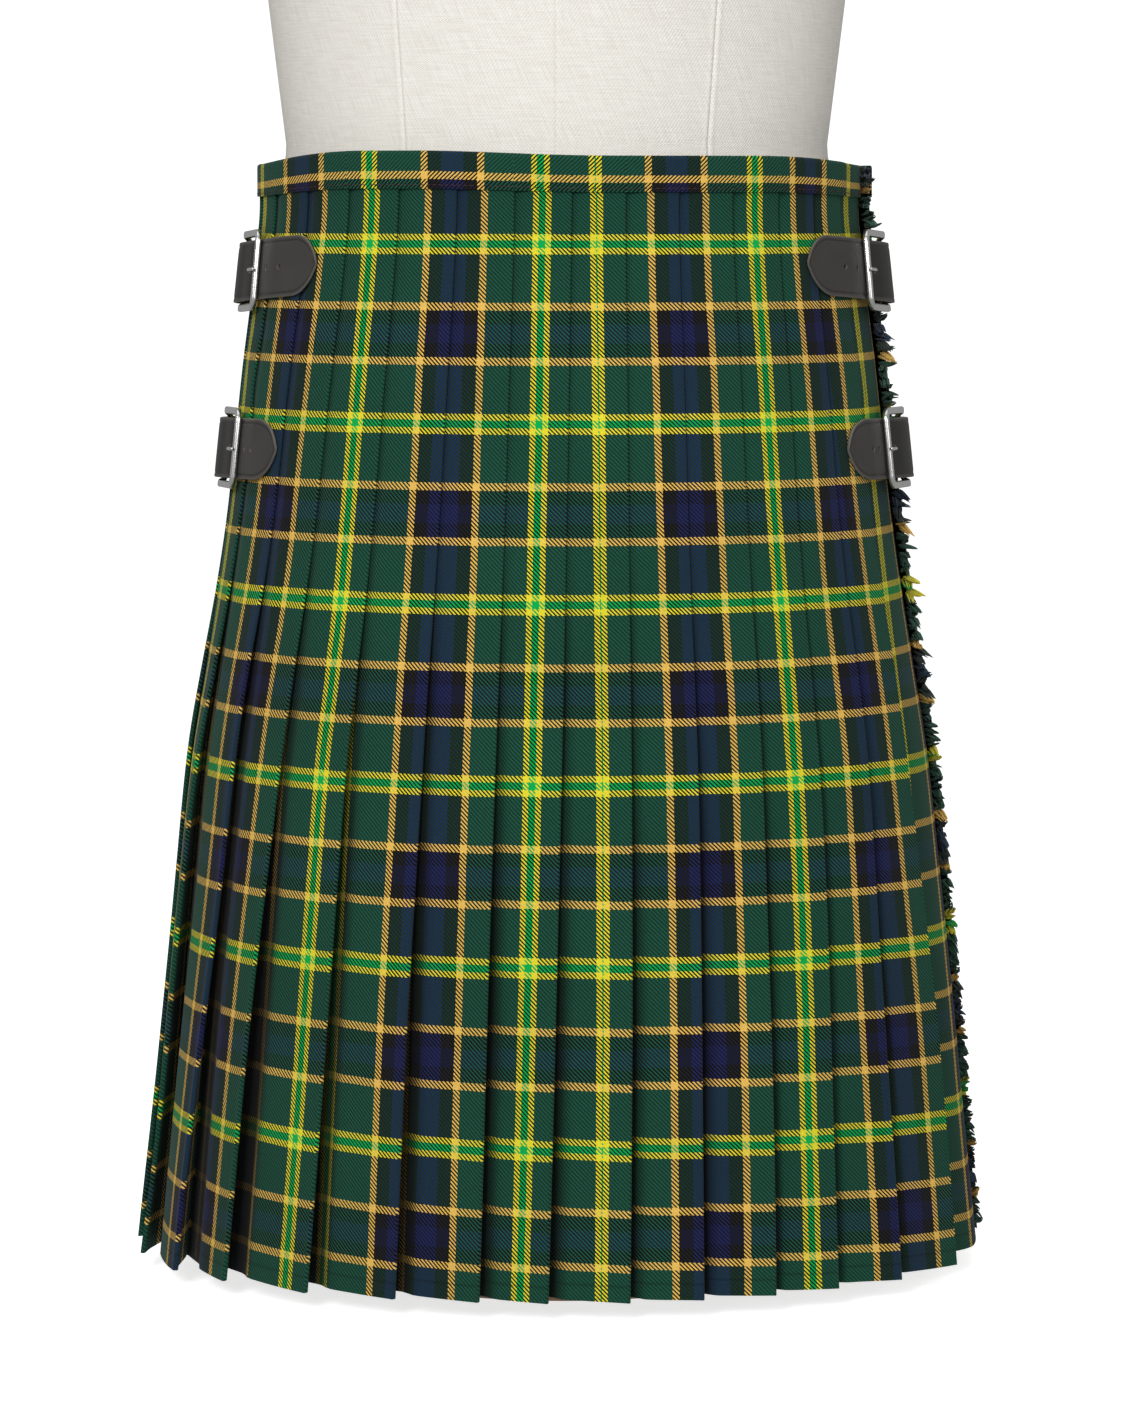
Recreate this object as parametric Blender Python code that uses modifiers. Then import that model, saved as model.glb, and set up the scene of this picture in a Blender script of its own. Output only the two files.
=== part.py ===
"""A pleated tartan kilt, worn by a limbless dress form that stands on a round foot.

The kilt is one spiral of cloth. It starts at the fringed edge of the over apron on the wearer's right hip,
crosses the front, runs round the back in knife pleats and ends as the under apron on the wearer's left.
+Z is up, +Y is the wearer's front and +X the wearer's right. The origin is under the foot, on the floor.
All sizes are in metres.
"""

import math
import random
from functools import lru_cache

import bmesh
import bpy
import numpy as np
from mathutils import Matrix, Vector

# Cloth and its place above the floor
KILT_LENGTH = 0.612
HEM_ABOVE_FLOOR = 0.014
WAIST_TOP = HEM_ABOVE_FLOOR + KILT_LENGTH
CLOTH = 0.0012
LAYER_GAP = 0.0004
LAYER = CLOTH + LAYER_GAP
CREST = 2 * LAYER
SEAM_GAP = 0.0003

# The kilt's outline: the outermost cloth at each level below the top of the waist
OUTLINE_COLUMNS = ("below_waist", "half_width", "half_depth")
OUTLINE = (
    (0.000, 0.1690, 0.1270),
    (0.025, 0.1690, 0.1270),
    (0.067, 0.1725, 0.1300),
    (0.120, 0.1792, 0.1370),
    (0.200, 0.1880, 0.1470),
    (0.240, 0.1940, 0.1525),
    (0.280, 0.2010, 0.1590),
    (0.335, 0.2102, 0.1660),
    (0.400, 0.2178, 0.1730),
    (0.470, 0.2255, 0.1800),
    (0.540, 0.2325, 0.1860),
    (0.612, 0.2400, 0.1910),
)

# How each knife pleat opens from the sewn hips to the hem
PLEAT_COLUMNS = ("below_waist", "lift", "underlap", "apron_stand_off", "under_apron_stand_off")
PLEAT_OPENING = (
    (0.000, CREST, 0.0120, 0.0060, 0.0000),
    (0.200, CREST, 0.0125, 0.0062, 0.0000),
    (0.300, 0.0068, 0.0150, 0.0080, 0.0025),
    (0.450, 0.0105, 0.0185, 0.0115, 0.0060),
    (0.612, 0.0145, 0.0210, 0.0150, 0.0100),
)
RING_LEVELS = (0.0020, 0.0280, 0.0900, 0.1500, 0.2100, 0.2600, 0.3200, 0.4000, 0.5000, 0.6120)
HEM_DROOP = 0.0025

# Each fold edge: its share of the way round from the centre back, at the waist and at the hem, and
# how far it stands out at the hem. The first row is the over apron's own folded edge.
FOLD_COLUMNS = ("number", "at_waist", "at_hem", "hem_lift")
FOLDS = (
    (-8, -0.2680, -0.2840, 0.0150),
    (-7, -0.2350, -0.2510, 0.0155),
    (-6, -0.2017, -0.2165, 0.0180),
    (-5, -0.1662, -0.1785, 0.0195),
    (-4, -0.1325, -0.1490, 0.0185),
    (-3, -0.0986, -0.1075, 0.0165),
    (-2, -0.0622, -0.0690, 0.0150),
    (-1, -0.0279, -0.0340, 0.0140),
    (0, 0.0058, -0.0058, 0.0130),
    (1, 0.0372, 0.0275, 0.0140),
    (2, 0.0690, 0.0582, 0.0135),
    (3, 0.1030, 0.0893, 0.0140),
    (4, 0.1348, 0.1190, 0.0145),
    (5, 0.1626, 0.1515, 0.0150),
    (6, 0.1894, 0.1905, 0.0165),
)
FIRST_PLEAT, LAST_PLEAT, MIDDLE_PLEAT = -7, 6, 0
SEAM_IN_FOLD = 0.0030

# The aprons, as shares of the way round
FRINGED_EDGE_WAIST, FRINGED_EDGE_HEM = 0.2430 - 1.0, 0.2680 - 1.0
UNDER_APRON_END = 0.6900
APRON_BLEND = 0.0260
APRON_STATIONS = 22
UNDER_APRON_STATIONS = 22

# Waistband: a strip folded over the raw top edge
BAND_HEIGHT, BAND_INSIDE, BAND_CLOTH = 0.0205, 0.0110, 0.0011
BAND_CLEARANCE = 0.00045

# Fringe along the over apron's edge
STRAND_COUNT = 74
STRAND_REACH, STRAND_LIFT, FRINGE_BACKING = 0.0105, 0.0045, 0.0026

# Leather and buckles. Places are measured from the buckle's centre, forwards towards the front.
BUCKLE_LEVELS = {"upper": 0.066, "lower": 0.164}
STRAP_RISE = {"upper": 0.075, "lower": 0.020}
BUCKLE_TURN = math.radians(79)
STRAP_WIDTH, STRAP_THICK, CHAPE_THICK = 0.0335, 0.0018, 0.0012
BUCKLE_LENGTH, BUCKLE_HEIGHT, BAR_RADIUS, BUCKLE_CORNER = 0.0340, 0.0410, 0.0016, 0.0050
BACK_BAR_OUT = 0.0099
FRONT_BAR_OUT = {1: 0.0101, -1: 0.0078}  # higher on the right, where it lies over the apron's edge
PIN_HOLE, PIN_HOLE_HALF_LENGTH = -0.0070, 0.0031
SPARE_HOLES, HOLE_RADIUS = {"upper": (-0.0250, -0.0380), "lower": (-0.0240, -0.0320)}, 0.0020
TAIL_TIP, TAIL_TAPER = {"upper": -0.0665, "lower": -0.0535}, 0.0175
CHAPE_BACK, CHAPE_WIDTH = -0.0370, 0.0270
PRONG_RADIUS = 0.0010
SLIT_FROM, SLIT_TO = 0.0010, 0.0130

# Dress form: its sides above the waist, and how far inside the kilt it stays below
FORM_COLUMNS = ("above_waist", "half_width", "half_depth", "forward")
FORM_ABOVE = (
    (0.000, 0.1503, 0.1130, 0.000),
    (0.085, 0.1607, 0.1175, 0.001),
    (0.190, 0.1730, 0.1240, 0.003),
    (0.280, 0.1840, 0.1260, 0.002),
    (0.350, 0.1900, 0.1130, -0.003),
    (0.395, 0.1720, 0.0920, -0.008),
    (0.425, 0.1280, 0.0740, -0.011),
    (0.445, 0.0820, 0.0640, -0.010),
    (0.465, 0.0640, 0.0600, -0.007),
    (0.520, 0.0580, 0.0570, 0.000),
)
INSET_COLUMNS = ("below_waist", "inset_at_sides", "inset_front_and_back")
FORM_INSET = (
    (0.000, 0.0144, 0.0098),
    (0.050, 0.0066, 0.0062),
    (0.090, 0.0016, 0.0016),
    (0.150, 0.0016, 0.0016),
    (0.210, 0.0075, 0.0075),
    (0.260, 0.0260, 0.0240),
    (0.310, 0.0500, 0.0440),
    (0.335, 0.0740, 0.0640),
)
FORM_SIDES = 28
FORM_LEAN = -0.0030
FOOT_RADIUS, FOOT_THICK = 0.1300, 0.0140
POLE_RADIUS = 0.0140
CAP_RADIUS, CAP_HEIGHT = 0.0560, 0.0300

# Colours, roughness and metallic value of each finish
FINISHES = {
    "tartan": ((0.035, 0.120, 0.065), 0.90, 0.0),
    "fringe_wool": ((0.020, 0.090, 0.050), 0.95, 0.0),
    "leather": ((0.022, 0.021, 0.020), 0.50, 0.0),
    "buckle_metal": ((0.800, 0.800, 0.790), 0.15, 1.0),
    "linen": ((0.780, 0.740, 0.680), 0.95, 0.0),
    "wood": ((0.450, 0.290, 0.160), 0.45, 0.0),
    "stand_metal": ((0.500, 0.500, 0.510), 0.35, 1.0),
}


def clear_scene():
    for thing in list(bpy.data.objects):
        bpy.data.objects.remove(thing)


def new_collection(name):
    collection = bpy.data.collections.new(name)
    bpy.context.scene.collection.children.link(collection)
    return collection


def finish_material(name):
    material = bpy.data.materials.get(name)
    if material:
        return material
    colour, roughness, metallic = FINISHES[name]
    material = bpy.data.materials.new(name)
    material.use_nodes = True
    shader = material.node_tree.nodes["Principled BSDF"]
    shader.inputs["Base Color"].default_value = (*colour, 1.0)
    shader.inputs["Roughness"].default_value = roughness
    shader.inputs["Metallic"].default_value = metallic
    return material


def smooth_table(rows, column, at):
    """Reads a column of a table at a level, along a smooth curve that never overshoots its rows."""
    xs = [row[0] for row in rows]
    ys = [row[column] for row in rows]
    steps = [(ys[i + 1] - ys[i]) / (xs[i + 1] - xs[i]) for i in range(len(xs) - 1)]
    slopes = [steps[0]]
    for before, after in zip(steps, steps[1:]):
        slopes.append(0.0 if before * after <= 0 else 2 * before * after / (before + after))
    slopes.append(steps[-1])
    at = min(max(at, xs[0]), xs[-1])
    i = min(max(sum(1 for x in xs if x <= at) - 1, 0), len(xs) - 2)
    width = xs[i + 1] - xs[i]
    t = (at - xs[i]) / width
    rise = ys[i] * (1 + 2 * t) * (1 - t) ** 2 + ys[i + 1] * t * t * (3 - 2 * t)
    return rise + width * (slopes[i] * t * (1 - t) ** 2 - slopes[i + 1] * t * t * (1 - t))


def smooth_step(t):
    t = min(max(t, 0.0), 1.0)
    return t * t * (3 - 2 * t)


def mix(a, b, t):
    return a + (b - a) * t


def share_down(level):
    return level / KILT_LENGTH


@lru_cache(maxsize=None)
def ring_at(level):
    return Ring(level)


def on_wall(share, out, level):
    """A point out from the cloth between two of its rings, at a share of the way round."""
    last = len(RING_LEVELS) - 2
    row = min(max(sum(1 for at in RING_LEVELS if at <= level) - 1, 0), last)
    above, below = RING_LEVELS[row], RING_LEVELS[row + 1]
    upper, lower = ring_at(above), ring_at(below)
    t = (level - above) / (below - above)
    return upper.place(share * upper.perimeter, out).lerp(lower.place(share * lower.perimeter, out), t)


class Ring:
    """The innermost layer's oval at one level, measured along its length from the centre back."""

    def __init__(self, level):
        self.level = level
        lift = smooth_table(PLEAT_OPENING, 1, level)
        self.half_width = smooth_table(OUTLINE, 1, level) - lift - CLOTH / 2
        self.half_depth = smooth_table(OUTLINE, 2, level) - lift - CLOTH / 2
        self.turns = np.linspace(-math.pi, math.pi, 1441)
        x = self.half_width * np.sin(self.turns)
        y = -self.half_depth * np.cos(self.turns)
        steps = np.hypot(np.diff(x), np.diff(y))
        self.lengths = np.concatenate([[0.0], np.cumsum(steps)])
        self.perimeter = self.lengths[-1]
        self.lengths -= self.perimeter / 2

    def along(self, turn):
        """Length from the centre back to an angle of the oval."""
        return float(np.interp(turn, self.turns, self.lengths))

    def place(self, s, out, level=None):
        """The point at length s and out from the layer, at this level or another one."""
        half = self.perimeter / 2
        wrapped = (s + half) % self.perimeter - half
        turn = float(np.interp(wrapped, self.lengths, self.turns))
        x, y = self.half_width * math.sin(turn), -self.half_depth * math.cos(turn)
        normal = Vector((self.half_depth * math.sin(turn), -self.half_width * math.cos(turn)))
        normal.normalize()
        height = WAIST_TOP - (self.level if level is None else level)
        return Vector((x + normal.x * out, y + normal.y * out, height))


def pleat_edge(ring, number):
    """Length from the centre back to a pleat's fold edge."""
    row = FOLDS[number - FOLDS[0][0]]
    return mix(row[1], row[2], share_down(ring.level)) * ring.perimeter


def pleat_lift(ring, number):
    """How far a fold edge stands out from the innermost layer."""
    opened = (smooth_table(PLEAT_OPENING, 1, ring.level) - CREST) / (PLEAT_OPENING[-1][1] - CREST)
    return CREST + (FOLDS[number - FOLDS[0][0]][3] - CREST) * opened


def face_height(x, pitch, underlap, lift):
    """How far out a pleat's face stands, x past the fold edge of the pleat before it."""
    step = CREST * smooth_step(x / (pitch - underlap))
    opened = (lift - CREST) * (max(x + underlap, 0.0) / (pitch + underlap)) ** 1.2
    return step + opened


def fold_back(edge, underlap, lift):
    """The hidden part of a pleat: over the fold edge, back under the face and round the inner fold."""
    return [
        (edge + LAYER / 2, lift - LAYER / 2),
        (edge, lift - LAYER),
        (edge - underlap, LAYER),
        (edge - underlap - LAYER / 2, LAYER / 2),
        (edge - underlap, 0.0),
        (edge - underlap + SEAM_IN_FOLD, 0.0),
    ]


def apron_out(ring, s, left_edge):
    """The over apron's stand-off: it comes down to the pleats' crest before its folded edge."""
    stand_off = smooth_table(PLEAT_OPENING, 3, ring.level)
    lift = pleat_lift(ring, FIRST_PLEAT - 1)
    underlap = smooth_table(PLEAT_OPENING, 2, ring.level)
    near = smooth_step((s - (left_edge - underlap - APRON_BLEND)) / APRON_BLEND)
    return mix(stand_off, lift, near)


def over_apron_section(ring):
    """From the fringed edge across the front to the seam hidden in the first fold."""
    left_edge = pleat_edge(ring, FIRST_PLEAT - 1)
    right_edge = mix(FRINGED_EDGE_WAIST, FRINGED_EDGE_HEM, share_down(ring.level)) * ring.perimeter
    lift = pleat_lift(ring, FIRST_PLEAT - 1)
    underlap = smooth_table(PLEAT_OPENING, 2, ring.level)
    blend_start = left_edge - underlap - APRON_BLEND
    flat = list(np.linspace(right_edge, blend_start, APRON_STATIONS))
    blend = [blend_start + APRON_BLEND * share for share in (0.35, 0.65, 1.0)]
    section = [(s, apron_out(ring, s, left_edge)) for s in flat + blend + [left_edge]]
    return section + fold_back(left_edge, underlap, lift)


def pleats_section(ring, first, last, ends_in_seam):
    """The knife pleats from one number to another, seam to seam."""
    underlap = smooth_table(PLEAT_OPENING, 2, ring.level)
    section = []
    for number in range(first, last + 1):
        lift = pleat_lift(ring, number)
        before, edge = pleat_edge(ring, number - 1), pleat_edge(ring, number)
        pitch = edge - before
        start = SEAM_IN_FOLD + SEAM_GAP - underlap
        for x in (start, 0.0, pitch - underlap, pitch):
            section.append((before + x, face_height(x, pitch, underlap, lift)))
        hidden = fold_back(edge, underlap, lift)
        section += hidden if number == last and ends_in_seam else hidden[:-1]
    return section


def under_apron_section(ring):
    """From the seam under the last pleat, across the front inside the over apron."""
    underlap = smooth_table(PLEAT_OPENING, 2, ring.level)
    stand_off = smooth_table(PLEAT_OPENING, 4, ring.level)
    edge = pleat_edge(ring, LAST_PLEAT)
    start = edge - underlap + SEAM_IN_FOLD + SEAM_GAP
    end = UNDER_APRON_END * ring.perimeter
    rise_end = edge + 0.050
    near = [start, edge, edge + 0.012, edge + 0.025, rise_end]
    far = list(np.linspace(rise_end, end, UNDER_APRON_STATIONS)[1:])
    return [(s, stand_off * smooth_step((s - edge) / (rise_end - edge))) for s in near + far]


def wall_sides(section, thickness):
    """Both sides of a section, each half a thickness from it, square to its path."""
    points = np.array(section)
    steps = np.diff(points, axis=0)
    steps /= np.linalg.norm(steps, axis=1)[:, None]
    across = np.stack([-steps[:, 1], steps[:, 0]], axis=1)
    corner = np.concatenate([across[:1], across[:-1] + across[1:], across[-1:]])
    corner /= np.linalg.norm(corner, axis=1)[:, None]
    beside = np.concatenate([across[:1], across])
    mitre = 1.0 / np.clip((corner * beside).sum(axis=1), 0.87, 1.0)
    offset = corner * (mitre * thickness / 2)[:, None]
    return points + offset, points - offset


def new_object(name, mesh, material, collection):
    thing = bpy.data.objects.new(name, mesh)
    mesh.materials.append(finish_material(material))
    collection.objects.link(thing)
    return thing


def loft_closed(name, loops, material, collection, whole_caps=False):
    """A solid through loops of equal count, each a closed outline; whole_caps: one face an end."""
    build = bmesh.new()
    rows = [[build.verts.new(point) for point in loop] for loop in loops]
    count = len(rows[0])
    for lower, upper in zip(rows, rows[1:]):
        for i in range(count):
            j = (i + 1) % count
            build.faces.new((lower[i], lower[j], upper[j], upper[i]))
    if whole_caps:
        build.faces.new(rows[0][::-1])
        build.faces.new(rows[-1])
    else:
        for row, turned in ((rows[0], True), (rows[-1], False)):
            for i in range(count // 2 - 1):
                quad = (row[i], row[i + 1], row[count - 2 - i], row[count - 1 - i])
                build.faces.new(quad[::-1] if turned else quad)
    bmesh.ops.recalc_face_normals(build, faces=build.faces)
    mesh = bpy.data.meshes.new(name)
    build.to_mesh(mesh)
    build.free()
    mesh.shade_smooth()
    mesh.set_sharp_from_angle(angle=math.radians(40))
    return new_object(name, mesh, material, collection)


def cloth_wall(name, section_of, collection):
    """A wall of cloth through the same section worked out at every ring level."""
    loops = []
    for level in RING_LEVELS:
        ring = ring_at(level)
        outer, inner = wall_sides(section_of(ring), CLOTH)
        droop = HEM_DROOP * smooth_step((level - 0.30) / (KILT_LENGTH - 0.30))
        lift = smooth_table(PLEAT_OPENING, 1, level)
        loop = []
        for s, out in list(outer) + list(inner[::-1]):
            drop = droop * min(max(out / lift, 0.0), 1.0)
            loop.append(ring.place(s, out, level + drop))
        loops.append(loop)
    return loft_closed(name, loops, "tartan", collection)


def band_sides(ring, s):
    """The waistband's outer and inner stand-off at length s of the spiral."""
    leg = CLOTH / 2 + BAND_CLEARANCE + BAND_CLOTH / 2
    left_edge = pleat_edge(ring, FIRST_PLEAT - 1)
    last_edge = pleat_edge(ring, LAST_PLEAT)
    underlap = smooth_table(PLEAT_OPENING, 2, ring.level)
    if s <= left_edge:
        middle = apron_out(ring, s, left_edge)
        fold_start = left_edge - underlap - 0.003
        down = smooth_step((s - (fold_start - 0.016)) / 0.016)
        return middle + leg, mix(middle, 0.0, down) - leg
    down = smooth_step((s - last_edge) / 0.012)
    return mix(CREST, 0.0, down) + leg, -leg


def band_stations(ring):
    """The waistband's places along the spiral, each at a point of the cloth that it is folded over."""
    underlap = smooth_table(PLEAT_OPENING, 2, ring.level)
    left_edge = pleat_edge(ring, FIRST_PLEAT - 1)
    stations = [s for s, out in over_apron_section(ring)[:-6]]
    stations[-1] = left_edge
    for number in range(FIRST_PLEAT, LAST_PLEAT + 1):
        edge = pleat_edge(ring, number)
        stations += [edge - underlap, edge]
    stations += [s for s, out in under_apron_section(ring)[2:]]
    return stations


def add_waistband(collection):
    """The strip folded over the top edge: a channel section carried along the whole spiral."""
    ring = ring_at(RING_LEVELS[0])
    half = BAND_CLOTH / 2
    loops = []
    for s in band_stations(ring):
        outer, inner = band_sides(ring, s)
        channel = (
            (outer + half, BAND_HEIGHT),
            (outer + half, 0.0),
            (inner - half, 0.0),
            (inner - half, BAND_INSIDE),
            (inner + half, BAND_INSIDE),
            (inner + half, BAND_CLOTH),
            (outer - half, BAND_CLOTH),
            (outer - half, BAND_HEIGHT),
        )
        share = s / ring.perimeter
        loops.append([on_wall(share, out, level) for out, level in channel])
    build = bmesh.new()
    rows = [[build.verts.new(point) for point in loop] for loop in loops]
    for before, after in zip(rows, rows[1:]):
        for i in range(8):
            j = (i + 1) % 8
            build.faces.new((before[i], before[j], after[j], after[i]))
    for row in (rows[0], rows[-1]):
        build.faces.new((row[0], row[1], row[6], row[7]))
        build.faces.new((row[1], row[2], row[5], row[6]))
        build.faces.new((row[2], row[3], row[4], row[5]))
    bmesh.ops.recalc_face_normals(build, faces=build.faces)
    mesh = bpy.data.meshes.new("waistband")
    build.to_mesh(mesh)
    build.free()
    return new_object("waistband", mesh, "tartan", collection)


def near_a_buckle(level):
    """1 where a buckle presses the fringe down, 0 away from it."""
    reach = BUCKLE_HEIGHT / 2 + 0.006
    return any(abs(level - centre) < reach for centre in BUCKLE_LEVELS.values())


def add_fringe(collection):
    """A narrow backing strip beside the over apron's edge, with tapered strands that point to the back."""
    chance = random.Random(7)
    top, bottom = RING_LEVELS[0], RING_LEVELS[-1]
    pitch = (bottom - top) / STRAND_COUNT
    half = CLOTH / 2
    build = bmesh.new()

    def strand_point(level, away, out):
        share = mix(FRINGED_EDGE_WAIST, FRINGED_EDGE_HEM, share_down(level))
        row = min(sum(1 for at in RING_LEVELS if at <= level), len(RING_LEVELS) - 1)
        above, below = RING_LEVELS[row - 1], RING_LEVELS[row]
        t = (level - above) / (below - above)
        ends = [smooth_table(PLEAT_OPENING, 3, at) for at in (above, below)]
        perimeter = mix(ring_at(above).perimeter, ring_at(below).perimeter, t)
        return on_wall(share - (SEAM_GAP + away) / perimeter, mix(*ends, t) + out, level)

    def strip_row(level):
        corners = ((0.0, half), (FRINGE_BACKING, half), (FRINGE_BACKING, -half), (0.0, -half))
        return [build.verts.new(strand_point(level, away, out)) for away, out in corners]

    rows = [strip_row(top + pitch * i) for i in range(STRAND_COUNT + 1)]
    for i in range(STRAND_COUNT):
        upper, lower = rows[i], rows[i + 1]
        for a, b in ((0, 1), (2, 3), (3, 0)):
            build.faces.new((upper[a], upper[b], lower[b], lower[a]))
        root = (upper[1], upper[2], lower[2], lower[1])
        level = top + pitch * (i + 0.5)
        pressed = near_a_buckle(level)
        reach = (0.0034 if pressed else STRAND_REACH) * chance.uniform(0.8, 1.15)
        lift = -0.0008 if pressed else STRAND_LIFT * chance.uniform(0.3, 1.2)
        drop = chance.uniform(0.0, 0.0035)
        knee = []
        for thick, tall in ((0.8, -0.3), (-0.8, -0.3), (-0.8, 0.3), (0.8, 0.3)):
            at = min(level + drop * 0.4 + tall * pitch, bottom)
            place = strand_point(at, FRINGE_BACKING + reach * 0.45, lift * 0.35 + thick * half)
            knee.append(build.verts.new(place))
        tip_level = min(level + drop, bottom)
        tip = build.verts.new(strand_point(tip_level, FRINGE_BACKING + reach, lift))
        for a in range(4):
            b = (a + 1) % 4
            build.faces.new((root[a], root[b], knee[b], knee[a]))
            build.faces.new((knee[a], knee[b], tip))
    build.faces.new(rows[0])
    build.faces.new(rows[-1][::-1])
    bmesh.ops.recalc_face_normals(build, faces=build.faces)
    mesh = bpy.data.meshes.new("apron_fringe")
    build.to_mesh(mesh)
    build.free()
    return new_object("apron_fringe", mesh, "fringe_wool", collection)


class Hip:
    """The place of one buckle: a side, a level, and lengths forwards from the buckle's centre."""

    def __init__(self, side, row):
        self.side = side
        self.level = BUCKLE_LEVELS[row]
        self.rise = STRAP_RISE[row]
        self.front_bar = FRONT_BAR_OUT[side]
        self.tip = TAIL_TIP[row]
        self.spare_holes = SPARE_HOLES[row]
        self.ring = Ring(self.level)
        self.centre = self.ring.along(BUCKLE_TURN)
        underlap = smooth_table(PLEAT_OPENING, 2, self.level)
        fold = -pleat_edge(self.ring, FIRST_PLEAT - 1) + underlap + LAYER / 2 + CLOTH / 2
        self.past_fold = fold - self.centre

    def point(self, forward, out, down=0.0):
        """A point forward of the buckle's centre, out from the inner cloth and down the hip."""
        level = self.level + forward * self.rise + down
        return on_wall(self.side * (self.centre + forward) / self.ring.perimeter, out, level)


def strap_route(hip):
    """The strap's middle line: tail tip, under the back bar, over the front bar, to its sewn end.

    On the right it is sewn to the over apron. On the left it goes through the slit to the under apron.
    """
    on_pleats = CREST + CLOTH / 2 + SEAM_GAP + STRAP_THICK / 2
    on_chape = on_pleats + CHAPE_THICK + SEAM_GAP
    under_bar = BACK_BAR_OUT - BAR_RADIUS - SEAM_GAP - STRAP_THICK / 2 - 0.0004
    over_bar = hip.front_bar + BAR_RADIUS + CHAPE_THICK + 2 * SEAM_GAP + STRAP_THICK / 2 + 0.0005
    tail = [(hip.tip + step, on_pleats + 0.0007) for step in (0.0, 0.006, 0.012, TAIL_TAPER)]
    route = [row for row in tail if row[0] < -0.0450] + [
        (-0.0420, on_pleats + 0.0016),
        (-0.0360, on_chape + 0.0004),
        (-0.0330, on_chape + 0.0006),
        (-0.0215, under_bar),
        (-0.0125, under_bar),
        (-0.0060, under_bar + 0.0020),
        (0.0030, over_bar - 0.0028),
        (0.0110, over_bar - 0.0007),
        (0.0170, over_bar),
        (0.0215, over_bar - 0.0008),
    ]
    if hip.side > 0:
        on_apron = 0.0062 + CLOTH / 2 + SEAM_GAP + STRAP_THICK / 2
        return route + [
            (0.0290, over_bar - 0.0044),
            (0.0360, on_apron + 0.0005),
            (0.0450, on_apron + 0.0002),
            (0.0540, on_apron + 0.0002),
            (0.0630, on_apron + 0.0002),
        ]
    slit = hip.past_fold
    return route + [
        (0.0290, over_bar - 0.0028),
        (0.0370, 0.0086),
        (slit - 0.0100, 0.0068),
        (slit - 0.0010, 0.0066),
        (slit + 0.0040, 0.0058),
        (slit + 0.0095, 0.0032),
        (slit + 0.0150, 0.0021),
        (slit + 0.0250, 0.0021),
        (slit + 0.0360, 0.0022),
        (slit + 0.0470, 0.0022),
    ]


def strip_mesh(name, hip, route, width_at, rows_across):
    """An open strip along a route of (forward, out), ready for Solidify."""
    build = bmesh.new()
    grid = []
    for forward, out in route:
        half = width_at(forward) / 2
        line = [hip.point(forward, out, mix(-half, half, i / rows_across)) for i in range(rows_across + 1)]
        grid.append([build.verts.new(point) for point in line])
    for before, after in zip(grid, grid[1:]):
        for i in range(rows_across):
            build.faces.new((before[i], before[i + 1], after[i + 1], after[i]))
    bmesh.ops.recalc_face_normals(build, faces=build.faces)
    mesh = bpy.data.meshes.new(name)
    build.to_mesh(mesh)
    build.free()
    return mesh


def add_thickness(thing, thickness):
    solid = thing.modifiers.new("thickness", "SOLIDIFY")
    solid.thickness = thickness
    solid.offset = 0.0


def tail_width(hip, forward):
    """Strap width: full, then an ogive to a blunt point at the tail."""
    past = (hip.tip + TAIL_TAPER - forward) / TAIL_TAPER
    if past <= 0:
        return STRAP_WIDTH
    return STRAP_WIDTH * max(1.0 - past ** 1.8, 0.12)


def cut_with(thing, cutter, name):
    cut = thing.modifiers.new(name, "BOOLEAN")
    cut.operation = "DIFFERENCE"
    cut.solver = "EXACT"
    cut.object = cutter


def add_cutter(name, mesh, cutters):
    cutter = bpy.data.objects.new(name, mesh)
    cutter.hide_render = True
    cutter.display_type = "WIRE"
    cutters.objects.link(cutter)
    return cutter


def frame_at(hip, forward, out):
    """Axes at a point of a hip: forwards, down the hip and straight out."""
    here = hip.point(forward, out)
    ahead = (hip.point(forward + 0.002, out) - here).normalized()
    down = (hip.point(forward, out, 0.002) - here).normalized()
    down = (down - ahead * down.dot(ahead)).normalized()
    outward = ahead.cross(down) * (1 if ahead.cross(down).dot(Vector((here.x, here.y, 0))) > 0 else -1)
    return here, ahead, down, outward


def route_out(route, forward):
    return float(np.interp(forward, [p[0] for p in route], [p[1] for p in route]))


def add_strap(hip, name, collection, cutters):
    """A leather strap with its row of punched holes."""
    route = strap_route(hip)
    mesh = strip_mesh(name, hip, route, lambda forward: tail_width(hip, forward), 2)
    strap = new_object(name, mesh, "leather", collection)
    add_thickness(strap, STRAP_THICK)
    build = bmesh.new()
    holes_cut = [(PIN_HOLE, PIN_HOLE_HALF_LENGTH)] + [(forward, HOLE_RADIUS) for forward in hip.spare_holes]
    for forward, half_length in holes_cut:
        here, ahead, down, outward = frame_at(hip, forward, route_out(route, forward))
        stretch = half_length / HOLE_RADIUS
        turned = Matrix((ahead * stretch, down, outward)).transposed().to_4x4()
        turned.translation = here
        bmesh.ops.create_cone(
            build,
            cap_ends=True,
            segments=8,
            radius1=HOLE_RADIUS,
            radius2=HOLE_RADIUS,
            depth=STRAP_THICK * 4,
            matrix=turned,
        )
    bmesh.ops.recalc_face_normals(build, faces=build.faces)
    holes = bpy.data.meshes.new(name + "_holes")
    build.to_mesh(holes)
    build.free()
    cut_with(strap, add_cutter(name + "_holes", holes, cutters), "holes")
    return strap


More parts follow.
